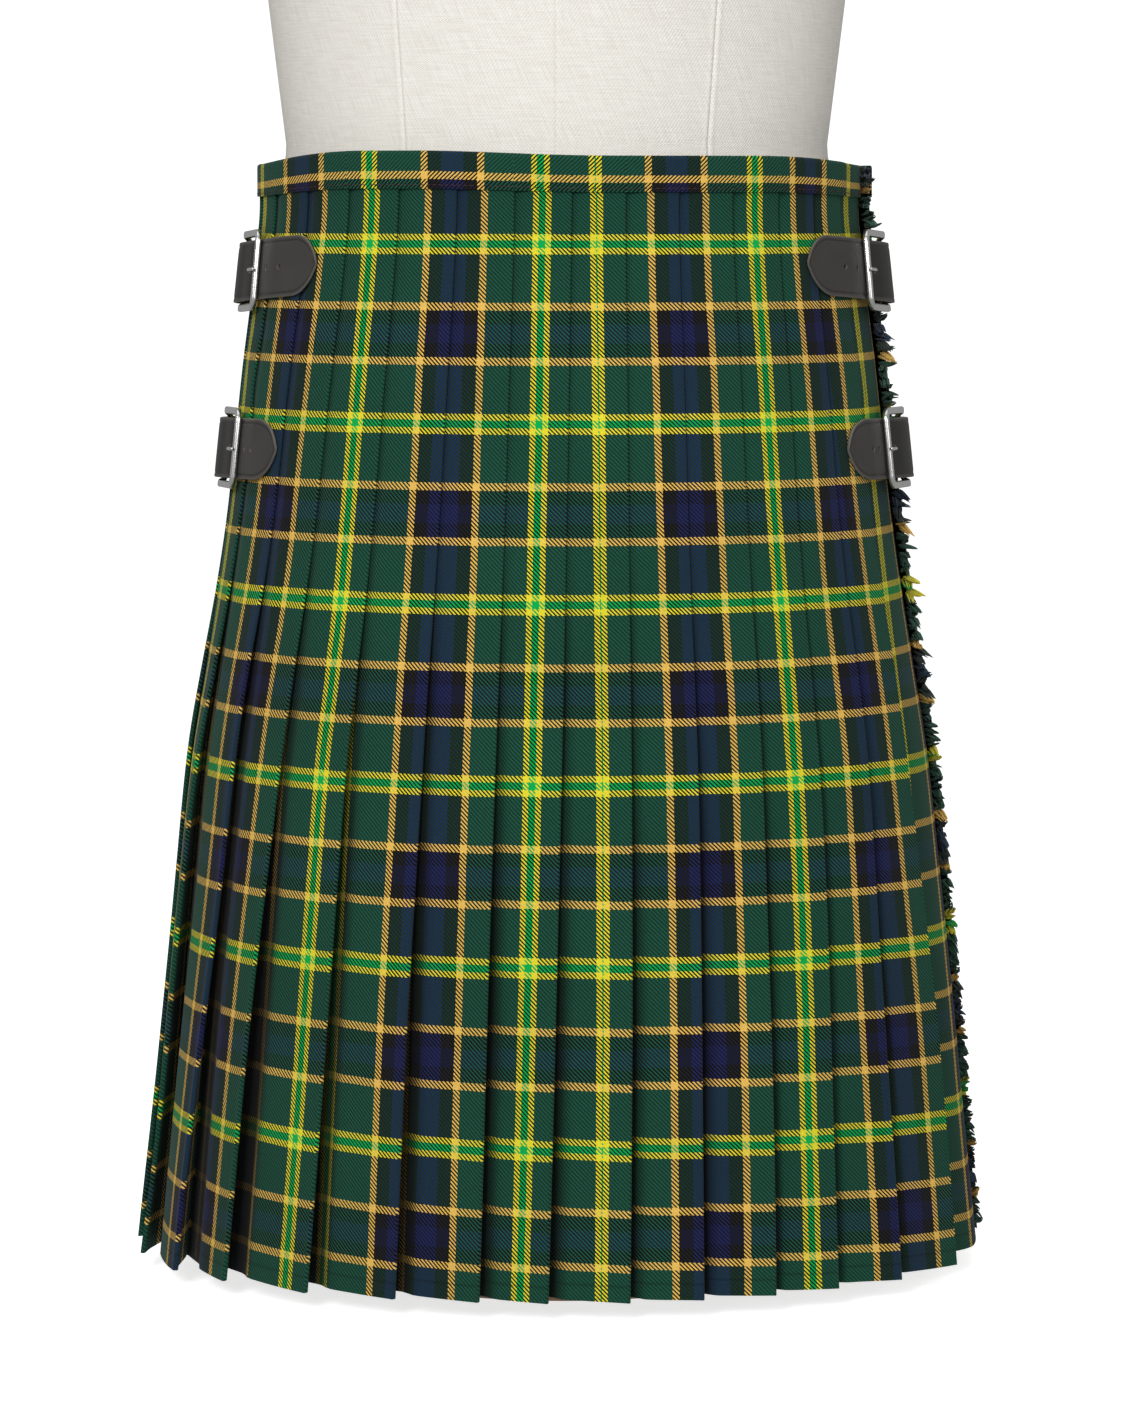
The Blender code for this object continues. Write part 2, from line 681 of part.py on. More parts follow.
def add_chape(hip, name, collection):
    """The leather tab that is sewn to the pleats and folded round the buckle's front bar."""
    low = CREST + CLOTH / 2 + SEAM_GAP + CHAPE_THICK / 2
    round_bar = BAR_RADIUS + SEAM_GAP + CHAPE_THICK / 2 + 0.0001
    under_bar = hip.front_bar - round_bar - 0.0001
    half_length = BUCKLE_LENGTH / 2
    route = [(mix(CHAPE_BACK, -0.0040, i / 4), low + 0.0001) for i in range(5)]
    route += [
        (0.0040, mix(low, under_bar, 0.5)),
        (0.0110, under_bar),
    ]
    for degrees in (-90, -45, 0, 45, 90):
        angle = math.radians(degrees)
        forward = half_length + round_bar * math.cos(angle)
        route.append((forward, hip.front_bar + round_bar * math.sin(angle)))
    route.append((0.0140, hip.front_bar + round_bar - 0.0002))
    mesh = strip_mesh(name, hip, route, lambda forward: CHAPE_WIDTH, 1)
    chape = new_object(name, mesh, "leather", collection)
    add_thickness(chape, CHAPE_THICK)
    return chape


def add_buckle(hip, name, collection):
    """A rounded rectangular frame of round wire, flat, with its back bar over the strap."""
    half_length, half_height = BUCKLE_LENGTH / 2, BUCKLE_HEIGHT / 2
    back = hip.point(-half_length, BACK_BAR_OUT)
    front = hip.point(half_length, hip.front_bar)
    centre = (back + front) / 2
    ahead = (front - back).normalized()
    down = frame_at(hip, 0.0, BACK_BAR_OUT)[2]
    down = (down - ahead * down.dot(ahead)).normalized()
    corners = []
    for cx, cy, start in ((1, 1, 0), (-1, 1, 90), (-1, -1, 180), (1, -1, 270)):
        for degrees in (0, 45, 90):
            angle = math.radians(start + degrees)
            x = cx * (half_length - BUCKLE_CORNER) + BUCKLE_CORNER * math.cos(angle)
            y = cy * (half_height - BUCKLE_CORNER) + BUCKLE_CORNER * math.sin(angle)
            corners.append(centre + ahead * x + down * y)
    curve = bpy.data.curves.new(name, "CURVE")
    curve.dimensions = "3D"
    curve.bevel_depth = BAR_RADIUS
    curve.bevel_resolution = 1
    spline = curve.splines.new("POLY")
    spline.points.add(len(corners) - 1)
    for point, place in zip(spline.points, corners):
        point.co = (*place, 1.0)
    spline.use_cyclic_u = True
    curve.materials.append(finish_material("buckle_metal"))
    buckle = bpy.data.objects.new(name, curve)
    collection.objects.link(buckle)
    return buckle


def add_wire(name, places, radius, collection):
    """A round wire along a path, with flat ends."""
    build = bmesh.new()
    loops = []
    for i, place in enumerate(places):
        along = (places[min(i + 1, len(places) - 1)] - places[max(i - 1, 0)]).normalized()
        side = along.cross(Vector((0, 0, 1))).normalized()
        top = side.cross(along)
        turns = [math.radians(60 * step) for step in range(6)]
        rim = [side * (radius * math.cos(a)) + top * (radius * math.sin(a)) for a in turns]
        loops.append([build.verts.new(place + spoke) for spoke in rim])
    for before, after in zip(loops, loops[1:]):
        for i in range(6):
            j = (i + 1) % 6
            build.faces.new((before[i], before[j], after[j], after[i]))
    build.faces.new(loops[0])
    build.faces.new(loops[-1])
    bmesh.ops.recalc_face_normals(build, faces=build.faces)
    mesh = bpy.data.meshes.new(name)
    build.to_mesh(mesh)
    build.free()
    mesh.shade_smooth()
    mesh.set_sharp_from_angle(angle=math.radians(65))
    return new_object(name, mesh, "buckle_metal", collection)


def add_prong(hip, name, collection):
    """The pin: from the front bar, under the strap, up through its hole and onto the back bar."""
    rest = BACK_BAR_OUT + BAR_RADIUS + SEAM_GAP + PRONG_RADIUS
    at_hole = route_out(strap_route(hip), PIN_HOLE)
    path = [
        (0.0110, hip.front_bar - 0.0006),
        (0.0030, mix(hip.front_bar - 0.0006, at_hole - 0.0019, 0.55)),
        (PIN_HOLE + 0.0028, at_hole - 0.0019),
        (PIN_HOLE, at_hole),
        (PIN_HOLE - 0.0026, at_hole + 0.0022),
        (PIN_HOLE - 0.0055, rest - 0.0001),
        (-BUCKLE_LENGTH / 2 - 0.0016, rest + 0.0001),
    ]
    return add_wire(name, [hip.point(forward, out) for forward, out in path], PRONG_RADIUS, collection)


def cut_slit(apron, hip, cutters):
    """The slit in the over apron that the under apron's strap comes out of."""
    build = bmesh.new()
    half = STRAP_WIDTH / 2 + 0.0012
    corners = []
    for out in (0.0010, 0.0100):
        for forward in (hip.past_fold + SLIT_FROM, hip.past_fold + SLIT_TO):
            for down in (-half, half):
                corners.append(build.verts.new(hip.point(forward, out, down)))
    for quad in ((0, 1, 3, 2), (4, 6, 7, 5), (0, 4, 5, 1), (2, 3, 7, 6), (0, 2, 6, 4), (1, 5, 7, 3)):
        build.faces.new([corners[i] for i in quad])
    bmesh.ops.recalc_face_normals(build, faces=build.faces)
    name = f"slit_{hip.level * 1000:.0f}"
    mesh = bpy.data.meshes.new(name)
    build.to_mesh(mesh)
    build.free()
    cut_with(apron, add_cutter(name, mesh, cutters), name)


def form_section(below):
    """Half width, half depth and forward shift of the dress form at a level below the waist."""
    if below >= 0:
        ring = Ring(below)
        width = ring.half_width - smooth_table(FORM_INSET, 1, below)
        return width, ring.half_depth - smooth_table(FORM_INSET, 2, below), 0.0
    return tuple(smooth_table(FORM_ABOVE, column, -below) for column in (1, 2, 3))


def form_sideways(below):
    """The torso stands a little to the wearer's left from the waist up to the shoulders."""
    inside = 1.0 - smooth_step(below / 0.05)
    under_neck = 1.0 - smooth_step((-below - 0.30) / 0.16)
    return FORM_LEAN * inside * under_neck


def add_form(collection):
    """The limbless torso: ovals that grow squarer towards the shoulders."""
    lower = [row[0] for row in FORM_INSET][::-1]
    upper = [-row[0] for row in FORM_ABOVE[1:]]
    loops = []
    for below in lower + upper:
        width, depth, forward = form_section(below)
        loop = []
        for i in range(FORM_SIDES):
            angle = 2 * math.pi * i / FORM_SIDES
            x, y = width * math.cos(angle), depth * math.sin(angle) + forward
            loop.append(Vector((x + form_sideways(below), y, WAIST_TOP - below)))
        loops.append(loop)
    return loft_closed("form_torso", loops, "linen", collection, whole_caps=True)


def add_turned(name, profile, material, collection):
    """A round piece: its profile at +X, from the top of its outer side to the bottom, turned round Z."""
    mesh = bpy.data.meshes.new(name)
    edges = [(i, i + 1) for i in range(len(profile) - 1)]
    mesh.from_pydata([(radius, 0.0, height) for radius, height in profile], edges, [])
    turned = new_object(name, mesh, material, collection)
    screw = turned.modifiers.new("turn", "SCREW")
    screw.steps = screw.render_steps = 32
    screw.use_merge_vertices = True
    screw.merge_threshold = 0.00005
    screw.use_smooth_shade = True
    return turned


def add_stand(collection):
    """The foot on the floor, the pole up to the torso, and the cap that closes the neck."""
    edge = 0.003
    add_turned(
        "form_foot",
        [
            (0.0, FOOT_THICK),
            (FOOT_RADIUS - edge, FOOT_THICK),
            (FOOT_RADIUS, FOOT_THICK - edge),
            (FOOT_RADIUS, 0.0),
            (0.0, 0.0),
        ],
        "wood",
        collection,
    )
    torso_bottom = WAIST_TOP - FORM_INSET[-1][0]
    low, high = FOOT_THICK + SEAM_GAP, torso_bottom - SEAM_GAP
    add_turned(
        "form_pole",
        [(0.0, high), (POLE_RADIUS, high), (POLE_RADIUS, low), (0.0, low)],
        "stand_metal",
        collection,
    )
    neck = WAIST_TOP + FORM_ABOVE[-1][0] + SEAM_GAP
    add_turned(
        "form_neck_cap",
        [
            (0.0, neck + CAP_HEIGHT),
            (CAP_RADIUS * 0.45, neck + CAP_HEIGHT * 0.95),
            (CAP_RADIUS * 0.80, neck + CAP_HEIGHT * 0.72),
            (CAP_RADIUS, neck + CAP_HEIGHT * 0.35),
            (CAP_RADIUS, neck),
            (0.0, neck),
        ],
        "wood",
        collection,
    )


def add_kilt(collection, cutters):
    over_apron = cloth_wall("over_apron", over_apron_section, collection)
    halves = (("pleats_left", FIRST_PLEAT, MIDDLE_PLEAT), ("pleats_right", MIDDLE_PLEAT + 1, LAST_PLEAT))
    for name, first, last in halves:
        cloth_wall(name, lambda ring, a=first, b=last: pleats_section(ring, a, b, True), collection)
    cloth_wall("under_apron", under_apron_section, collection)
    add_waistband(collection)
    add_fringe(collection)
    for side, word in ((-1, "left"), (1, "right")):
        for row in BUCKLE_LEVELS:
            hip = Hip(side, row)
            label = f"{word}_{row}"
            add_strap(hip, f"strap_{label}", collection, cutters)
            add_chape(hip, f"chape_{label}", collection)
            add_buckle(hip, f"buckle_{label}", collection)
            add_prong(hip, f"prong_{label}", collection)
            if side < 0:
                cut_slit(over_apron, hip, cutters)


def main():
    clear_scene()
    kilt = new_collection("kilt_on_form")
    cutters = new_collection("cutters")
    add_kilt(kilt, cutters)
    add_form(kilt)
    add_stand(kilt)


main()
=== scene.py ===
# %% [markdown]
# # A kilt on a dress form
# A kilt is one long piece of checked wool twill. The back is folded into knife pleats that are sewn
# flat from the waist to the hips and hang free below. Two flat aprons cross over the front, and
# leather straps with buckles hold them at the hips. A solid model fixes where each piece lies.
# Here every piece is made again as a fine surface, in metres, in that model's own frame: +X is the
# wearer's right, +Y the front, and +Z is up.

# %% Load the frame
import math

import bpy
import numpy as np
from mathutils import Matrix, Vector


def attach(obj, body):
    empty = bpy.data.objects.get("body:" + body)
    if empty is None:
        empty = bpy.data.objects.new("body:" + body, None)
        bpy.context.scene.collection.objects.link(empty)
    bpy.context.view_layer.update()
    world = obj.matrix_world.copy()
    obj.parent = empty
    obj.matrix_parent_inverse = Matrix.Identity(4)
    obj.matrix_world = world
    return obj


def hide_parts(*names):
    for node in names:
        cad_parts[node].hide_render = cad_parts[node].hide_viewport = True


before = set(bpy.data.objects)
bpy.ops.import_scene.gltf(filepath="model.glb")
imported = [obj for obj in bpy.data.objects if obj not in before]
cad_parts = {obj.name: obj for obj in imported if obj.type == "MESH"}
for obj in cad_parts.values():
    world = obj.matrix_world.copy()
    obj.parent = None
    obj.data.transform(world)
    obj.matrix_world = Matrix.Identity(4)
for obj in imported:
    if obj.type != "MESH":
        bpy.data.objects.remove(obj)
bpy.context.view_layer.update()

# %% [markdown]
# ## Camera
# A long lens, about three metres away and a little above the waist, tilted down so that the hem's
# nearest folds come out lowest. A long lens keeps the pleats at both hips from looking squeezed.

# %% Camera
camera_data = bpy.data.cameras.new("camera")
camera_data.lens, camera_data.sensor_width = 139.4, 36.0
camera_data.clip_end = 60.0
camera = bpy.data.objects.new("camera", camera_data)
camera.location = (-0.0006, -3.05, 0.6047)
camera.rotation_euler = (math.radians(90 - 5.376), 0.0, 0.0)
bpy.context.scene.collection.objects.link(camera)
bpy.context.scene.camera = camera
print("camera:", tuple(round(v, 3) for v in camera.location))

# %% [markdown]
# ## The kilt's shape
# The cloth is wrapped round ovals that widen from the waist to the hem. A table holds a few of
# them, and a smooth curve through its rows gives the rest. The curve is a monotone cubic: it never
# swings past its rows, so the sides stay clean.

# %% Tables of the kilt
LENGTH, WAIST = 0.612, 0.626
CAD_CLOTH, CAD_CREST = 0.0012, 0.0032
OUTLINE_COLUMNS = ("below_waist", "half_width", "half_depth")
OUTLINE = np.array([
    (0.000, 0.1690, 0.1270), (0.025, 0.1690, 0.1270), (0.067, 0.1725, 0.1300),
    (0.120, 0.1792, 0.1370), (0.200, 0.1880, 0.1470), (0.240, 0.1940, 0.1525),
    (0.280, 0.2010, 0.1590), (0.335, 0.2102, 0.1660), (0.400, 0.2178, 0.1730),
    (0.470, 0.2255, 0.1800), (0.540, 0.2325, 0.1860), (0.612, 0.2400, 0.1910),
])
OPENING_COLUMNS = ("below_waist", "lift", "underlap", "apron_stand_off", "under_apron_stand_off")
OPENING = np.array([
    (0.000, 0.0032, 0.0120, 0.0060, 0.0000),
    (0.200, 0.0032, 0.0125, 0.0062, 0.0000),
    (0.300, 0.0068, 0.0150, 0.0080, 0.0025),
    (0.450, 0.0105, 0.0185, 0.0115, 0.0060),
    (0.612, 0.0145, 0.0210, 0.0150, 0.0100),
])


def smooth(t):
    """A step from 0 to 1 with level ends: 3t^2 - 2t^3."""
    t = np.clip(t, 0.0, 1.0)
    return t * t * (3 - 2 * t)


def mix(a, b, t):
    return a + (b - a) * t


def read_curve(rows, column, at):
    """Reads a column along a monotone cubic; each slope is the harmonic mean of its two steps."""
    xs, ys = rows[:, 0], rows[:, column]
    steps = np.diff(ys) / np.diff(xs)
    product, total = steps[:-1] * steps[1:], steps[:-1] + steps[1:]
    inner = np.where(product > 0, 2 * product / np.where(product > 0, total, 1.0), 0.0)
    slopes = np.concatenate([steps[:1], inner, steps[-1:]])
    at = np.clip(at, xs[0], xs[-1])
    i = np.clip(np.searchsorted(xs, at, side="right") - 1, 0, len(xs) - 2)
    width = xs[i + 1] - xs[i]
    t = (at - xs[i]) / width
    level = ys[i] * (1 + 2 * t) * (1 - t) ** 2 + ys[i + 1] * t * t * (3 - 2 * t)
    return level + width * (slopes[i] * t * (1 - t) ** 2 - slopes[i + 1] * t * t * (1 - t))


print("waist half width", read_curve(OUTLINE, 1, 0.0), "hem", read_curve(OUTLINE, 1, LENGTH))

# %% [markdown]
# A place on the wall of cloth has three numbers: how far it is below the waist, how far round from
# the centre back, and how far out from the inner layer. Lengths round an oval have no plain
# formula, so a table is worked out once, for ovals from flat to round, and then only read.

# %% Places on the wall of cloth
def oval(level):
    """Half width and half depth of the inner layer: the outline less the pleats' lift."""
    inset = read_curve(OPENING, 1, level) + CAD_CLOTH / 2
    return read_curve(OUTLINE, 1, level) - inset, read_curve(OUTLINE, 2, level) - inset


def girth(level):
    """Length round the oval, by Ramanujan's formula."""
    a, b = oval(level)
    h = ((a - b) / (a + b)) ** 2
    return math.pi * (a + b) * (1 + 3 * h / (10 + np.sqrt(4 - 3 * h)))


FLATNESS = np.linspace(0.60, 1.00, 81)
SHARES = np.linspace(-0.5, 0.5, 1441)
turns = np.linspace(-math.pi, math.pi, 2881)
steps = np.hypot(np.diff(np.sin(turns))[None, :], FLATNESS[:, None] * np.diff(np.cos(turns))[None, :])
lengths = np.concatenate([np.zeros((len(FLATNESS), 1)), np.cumsum(steps, axis=1)], axis=1)
lengths = lengths / lengths[:, -1:] - 0.5
TURN_TABLE = np.stack([np.interp(SHARES, row, turns) for row in lengths])


def turn_at(share, flatness):
    """The oval's angle at a share of its length, read between four entries of the table."""
    laps = np.round(share)
    column = (share - laps + 0.5) * (len(SHARES) - 1)
    row = (flatness - FLATNESS[0]) / (FLATNESS[1] - FLATNESS[0])
    j = np.clip(column.astype(int), 0, len(SHARES) - 2)
    i = np.clip(row.astype(int), 0, len(FLATNESS) - 2)
    upper = mix(TURN_TABLE[i, j], TURN_TABLE[i, j + 1], column - j)
    lower = mix(TURN_TABLE[i + 1, j], TURN_TABLE[i + 1, j + 1], column - j)
    return mix(upper, lower, row - i) + 2 * math.pi * laps


def waist_dip(level, turn):
    """How far the top edge sags: least left of the centre back, most at the hips, none at the straps."""
    left = (turn + math.pi) % (2 * math.pi) - math.pi
    sag = 0.0028 * smooth((left + 0.50) / 0.65)
    sag = sag + 0.0045 * smooth((left - 0.70) / 0.75) + 0.0068 * smooth((-left - 0.70) / 0.75)
    front = smooth((np.abs(left) - 1.9) / 1.0)
    return mix(sag, 0.0045, front) * (1 - smooth(level / 0.052))


def place(level, s, out, drop=0.0):
    """Points at a level, at length s from the centre back, and out along the oval's normal."""
    level, s, out, drop = np.broadcast_arrays(*(np.asarray(v, float) for v in (level, s, out, drop)))
    a, b = oval(level)
    turn = turn_at(s / girth(level), b / a)
    across, along = b * np.sin(turn), -a * np.cos(turn)
    length = np.hypot(across, along)
    x = a * np.sin(turn) + across / length * out
    y = -b * np.cos(turn) + along / length * out
    return np.stack([x, y, WAIST - level - drop - waist_dip(level, turn)], axis=-1)


print("girth at waist and hem:", [round(float(girth(np.array(v))), 3) for v in (0.0, LENGTH)])

# %% [markdown]
# ## Making meshes
# Every surface is a grid of points. Cloth also has a back, so a shell joins two grids, the outer
# and the inner face, along their four borders. The sign of the closed volume tells whether its
# faces point outwards.

# %% Mesh helpers
def grid_quads(rows, columns, rows_closed=False, columns_closed=False):
    """The quads between neighbours of a grid; closed ones join the last line to the first."""
    i = np.arange(rows if rows_closed else rows - 1)[:, None]
    j = np.arange(columns if columns_closed else columns - 1)[None, :]
    i, j = np.broadcast_arrays(i, j)
    i_next, j_next = (i + 1) % rows, (j + 1) % columns
    quads = [i * columns + j, i * columns + j_next, i_next * columns + j_next, i_next * columns + j]
    return np.stack(quads, axis=-1).reshape(-1, 4)


def shell_quads(rows, columns):
    """Quads of an outer grid, of an inner grid after it, and of the borders that join them."""
    outer = grid_quads(rows, columns)
    index = np.arange(rows * columns).reshape(rows, columns)
    rim = np.concatenate([index[0, :], index[1:, -1], index[-1, -2::-1], index[-2:0:-1, 0]])
    after = np.roll(rim, -1)
    back = rows * columns
    border = np.stack([after, rim, rim + back, after + back], axis=1)
    return np.concatenate([outer, outer[:, ::-1] + back, border])


def signed_volume(points, quads):
    a, b, c, d = (points[quads[:, k]] for k in range(4))
    return (np.einsum("ij,ij->i", a, np.cross(b, c)) + np.einsum("ij,ij->i", a, np.cross(c, d))).sum() / 6


def make_mesh(name, points, quads, uv=None):
    """A mesh of quads whose normals point outwards; uv is one pair a point."""
    points = np.asarray(points, float).reshape(-1, 3)
    if signed_volume(points, quads) < 0:
        quads = quads[:, ::-1]
    mesh = bpy.data.meshes.new(name)
    mesh.vertices.add(len(points))
    mesh.vertices.foreach_set("co", points.astype(np.float32).ravel())
    mesh.loops.add(quads.size)
    mesh.loops.foreach_set("vertex_index", quads.astype(np.int32).ravel())
    mesh.polygons.add(len(quads))
    mesh.polygons.foreach_set("loop_start", np.arange(0, quads.size, 4, dtype=np.int32))
    mesh.update(calc_edges=True)
    if uv is not None:
        layer = mesh.uv_layers.new(name="cloth")
        corners = np.asarray(uv, float).reshape(-1, 2)[quads.ravel()]
        layer.data.foreach_set("uv", corners.astype(np.float32).ravel())
    return mesh


def mark(mesh, name, values):
    """Keeps one number a vertex, for a material to read."""
    attribute = mesh.attributes.new(name, "FLOAT", "POINT")
    attribute.data.foreach_set("value", np.asarray(values, np.float32).ravel())


def add_piece(name, mesh, material, replaces=(), sharp=50):
    """Puts a mesh in the scene as a piece of the kilt or of its form."""
    mesh.shade_smooth()
    mesh.set_sharp_from_angle(angle=math.radians(sharp))
    mesh.materials.append(material)
    piece = bpy.data.objects.new(name, mesh)
    bpy.context.scene.collection.objects.link(piece)
    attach(piece, "root")
    if replaces:
        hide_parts(*replaces)
    print(name, len(mesh.polygons), "faces")
    return piece


def both_sides(s, out, thickness):
    """Half a thickness to each side of a path, square to it, mitred at its corners."""
    step = np.stack([np.diff(s, axis=1), np.diff(out, axis=1)], axis=-1)
    step /= np.maximum(np.linalg.norm(step, axis=-1, keepdims=True), 1e-9)
    across = np.stack([-step[..., 1], step[..., 0]], axis=-1)
    corner = np.concatenate([across[:, :1], across[:, :-1] + across[:, 1:], across[:, -1:]], axis=1)
    corner /= np.maximum(np.linalg.norm(corner, axis=-1, keepdims=True), 1e-9)
    beside = np.concatenate([across[:, :1], across], axis=1)
    mitre = 1.0 / np.clip((corner * beside).sum(axis=-1), 0.85, 1.0)
    offset = corner * (mitre * thickness / 2)[..., None]
    return (s + offset[..., 0], out + offset[..., 1]), (s - offset[..., 0], out - offset[..., 1])


# %% [markdown]
# ## The tartan
# Tartan is a plain check woven in a 2/2 twill: the same order of coloured yarns runs down (warp)
# and across (weft), and each yarn floats over two and under two, one step on in each row. That
# puts fine diagonal lines where a bright stripe crosses a dark ground, and solid squares where a
# stripe meets its own colour. Two colour ramps hold the yarn order, read along the cloth's own
# coordinates in metres, and a diagonal wave chooses which yarn is on top.

# %% Yarn colours and the sett
def colour(red, green, blue):
    """A display colour, 0 to 255, as the linear values that a shader needs."""
    shown = np.array([red, green, blue]) / 255.0
    linear = np.where(shown <= 0.04045, shown / 12.92, ((shown + 0.055) / 1.055) ** 2.4)
    return (*(float(v) for v in linear), 1.0)


YARNS = {
    "dark_green": colour(26, 80, 62),
    "black": colour(26, 25, 28),
    "navy": colour(30, 35, 80),
    "gold": colour(244, 198, 96),
    "yellow": colour(242, 228, 54),
    "green": colour(0, 182, 84),
}
WARP_REPEAT, WEFT_REPEAT = 0.1920, 0.0962
# From each millimetre on, this yarn
WARP = (
    (0, "green"), (0.6, "yellow"), (3.3, "dark_green"), (31, "gold"), (35, "black"),
    (42.6, "navy"), (54.4, "black"), (62, "gold"), (66, "dark_green"), (91, "yellow"),
    (94.4, "green"), (97.6, "yellow"), (101, "dark_green"), (127, "gold"), (131, "black"),
    (138.5, "navy"), (150.5, "black"), (158, "gold"), (162, "dark_green"), (188.7, "yellow"),
    (191.4, "green"),
)
WEFT = (
    (0, "green"), (2, "yellow"), (5.4, "dark_green"), (31.4, "gold"), (35.6, "black"),
    (42.9, "navy"), (53.3, "black"), (60.6, "gold"), (64.8, "dark_green"), (90.8, "yellow"),
    (94.2, "green"),
)
FIRST_WEFT, HEM_LINE = 0.0500, 0.6035
TWILL_PITCH = 0.00230


# %% Shader helpers
def new_material(name):
    material = bpy.data.materials.new(name)
    material.use_nodes = True
    return material, material.node_tree, material.node_tree.nodes["Principled BSDF"]


def math_node(tree, kind, a, b=None, c=None):
    """One Math node; numbers go into its sockets and outputs are linked."""
    node = tree.nodes.new("ShaderNodeMath")
    node.operation = kind
    for socket, value in zip(node.inputs, (a, b, c)):
        if value is None:
            continue
        if isinstance(value, (int, float)):
            socket.default_value = value
        else:
            tree.links.new(value, socket)
    return node.outputs[0]


def mix_colour(tree, share, a, b, blend="MIX"):
    node = tree.nodes.new("ShaderNodeMix")
    node.data_type, node.blend_type = "RGBA", blend
    for socket, value in ((node.inputs[0], share), (node.inputs[6], a), (node.inputs[7], b)):
        if isinstance(value, (int, float, tuple)):
            socket.default_value = value
        else:
            tree.links.new(value, socket)
    return node.outputs[2]


def noise(tree, vector, scale, detail=2.0):
    node = tree.nodes.new("ShaderNodeTexNoise")
    node.inputs["Scale"].default_value = scale
    node.inputs["Detail"].default_value = detail
    tree.links.new(vector, node.inputs["Vector"])
    return node.outputs["Fac"]


def value_of(tree, shade):
    """The largest of a colour's three parts."""
    parts = tree.nodes.new("ShaderNodeSeparateColor")
    tree.links.new(shade, parts.inputs[0])
    larger = math_node(tree, "MAXIMUM", parts.outputs[1], parts.outputs[2])
    return math_node(tree, "MAXIMUM", parts.outputs[0], larger)


def yarn_ramp(tree, along, sett, repeat):
    """The yarn colour at a length along the cloth: the length's part of a repeat, read in steps."""
    share = math_node(tree, "FRACT", math_node(tree, "DIVIDE", along, repeat))
    ramp = tree.nodes.new("ShaderNodeValToRGB")
    ramp.color_ramp.interpolation = "CONSTANT"
    stops = ramp.color_ramp.elements
    stops[0].position, stops[0].color = 0.0, YARNS[sett[0][1]]
    stops.remove(stops[1])
    for start, yarn in sett[1:]:
        stops.new(start / 1000 / repeat).color = YARNS[yarn]
    tree.links.new(share, ramp.inputs[0])
    return ramp.outputs[0]


def set_bump(tree, shader, height, strength, distance):
    bump = tree.nodes.new("ShaderNodeBump")
    bump.inputs["Strength"].default_value = strength
    bump.inputs["Distance"].default_value = distance
    tree.links.new(height, bump.inputs["Height"])
    tree.links.new(bump.outputs[0], shader.inputs["Normal"])


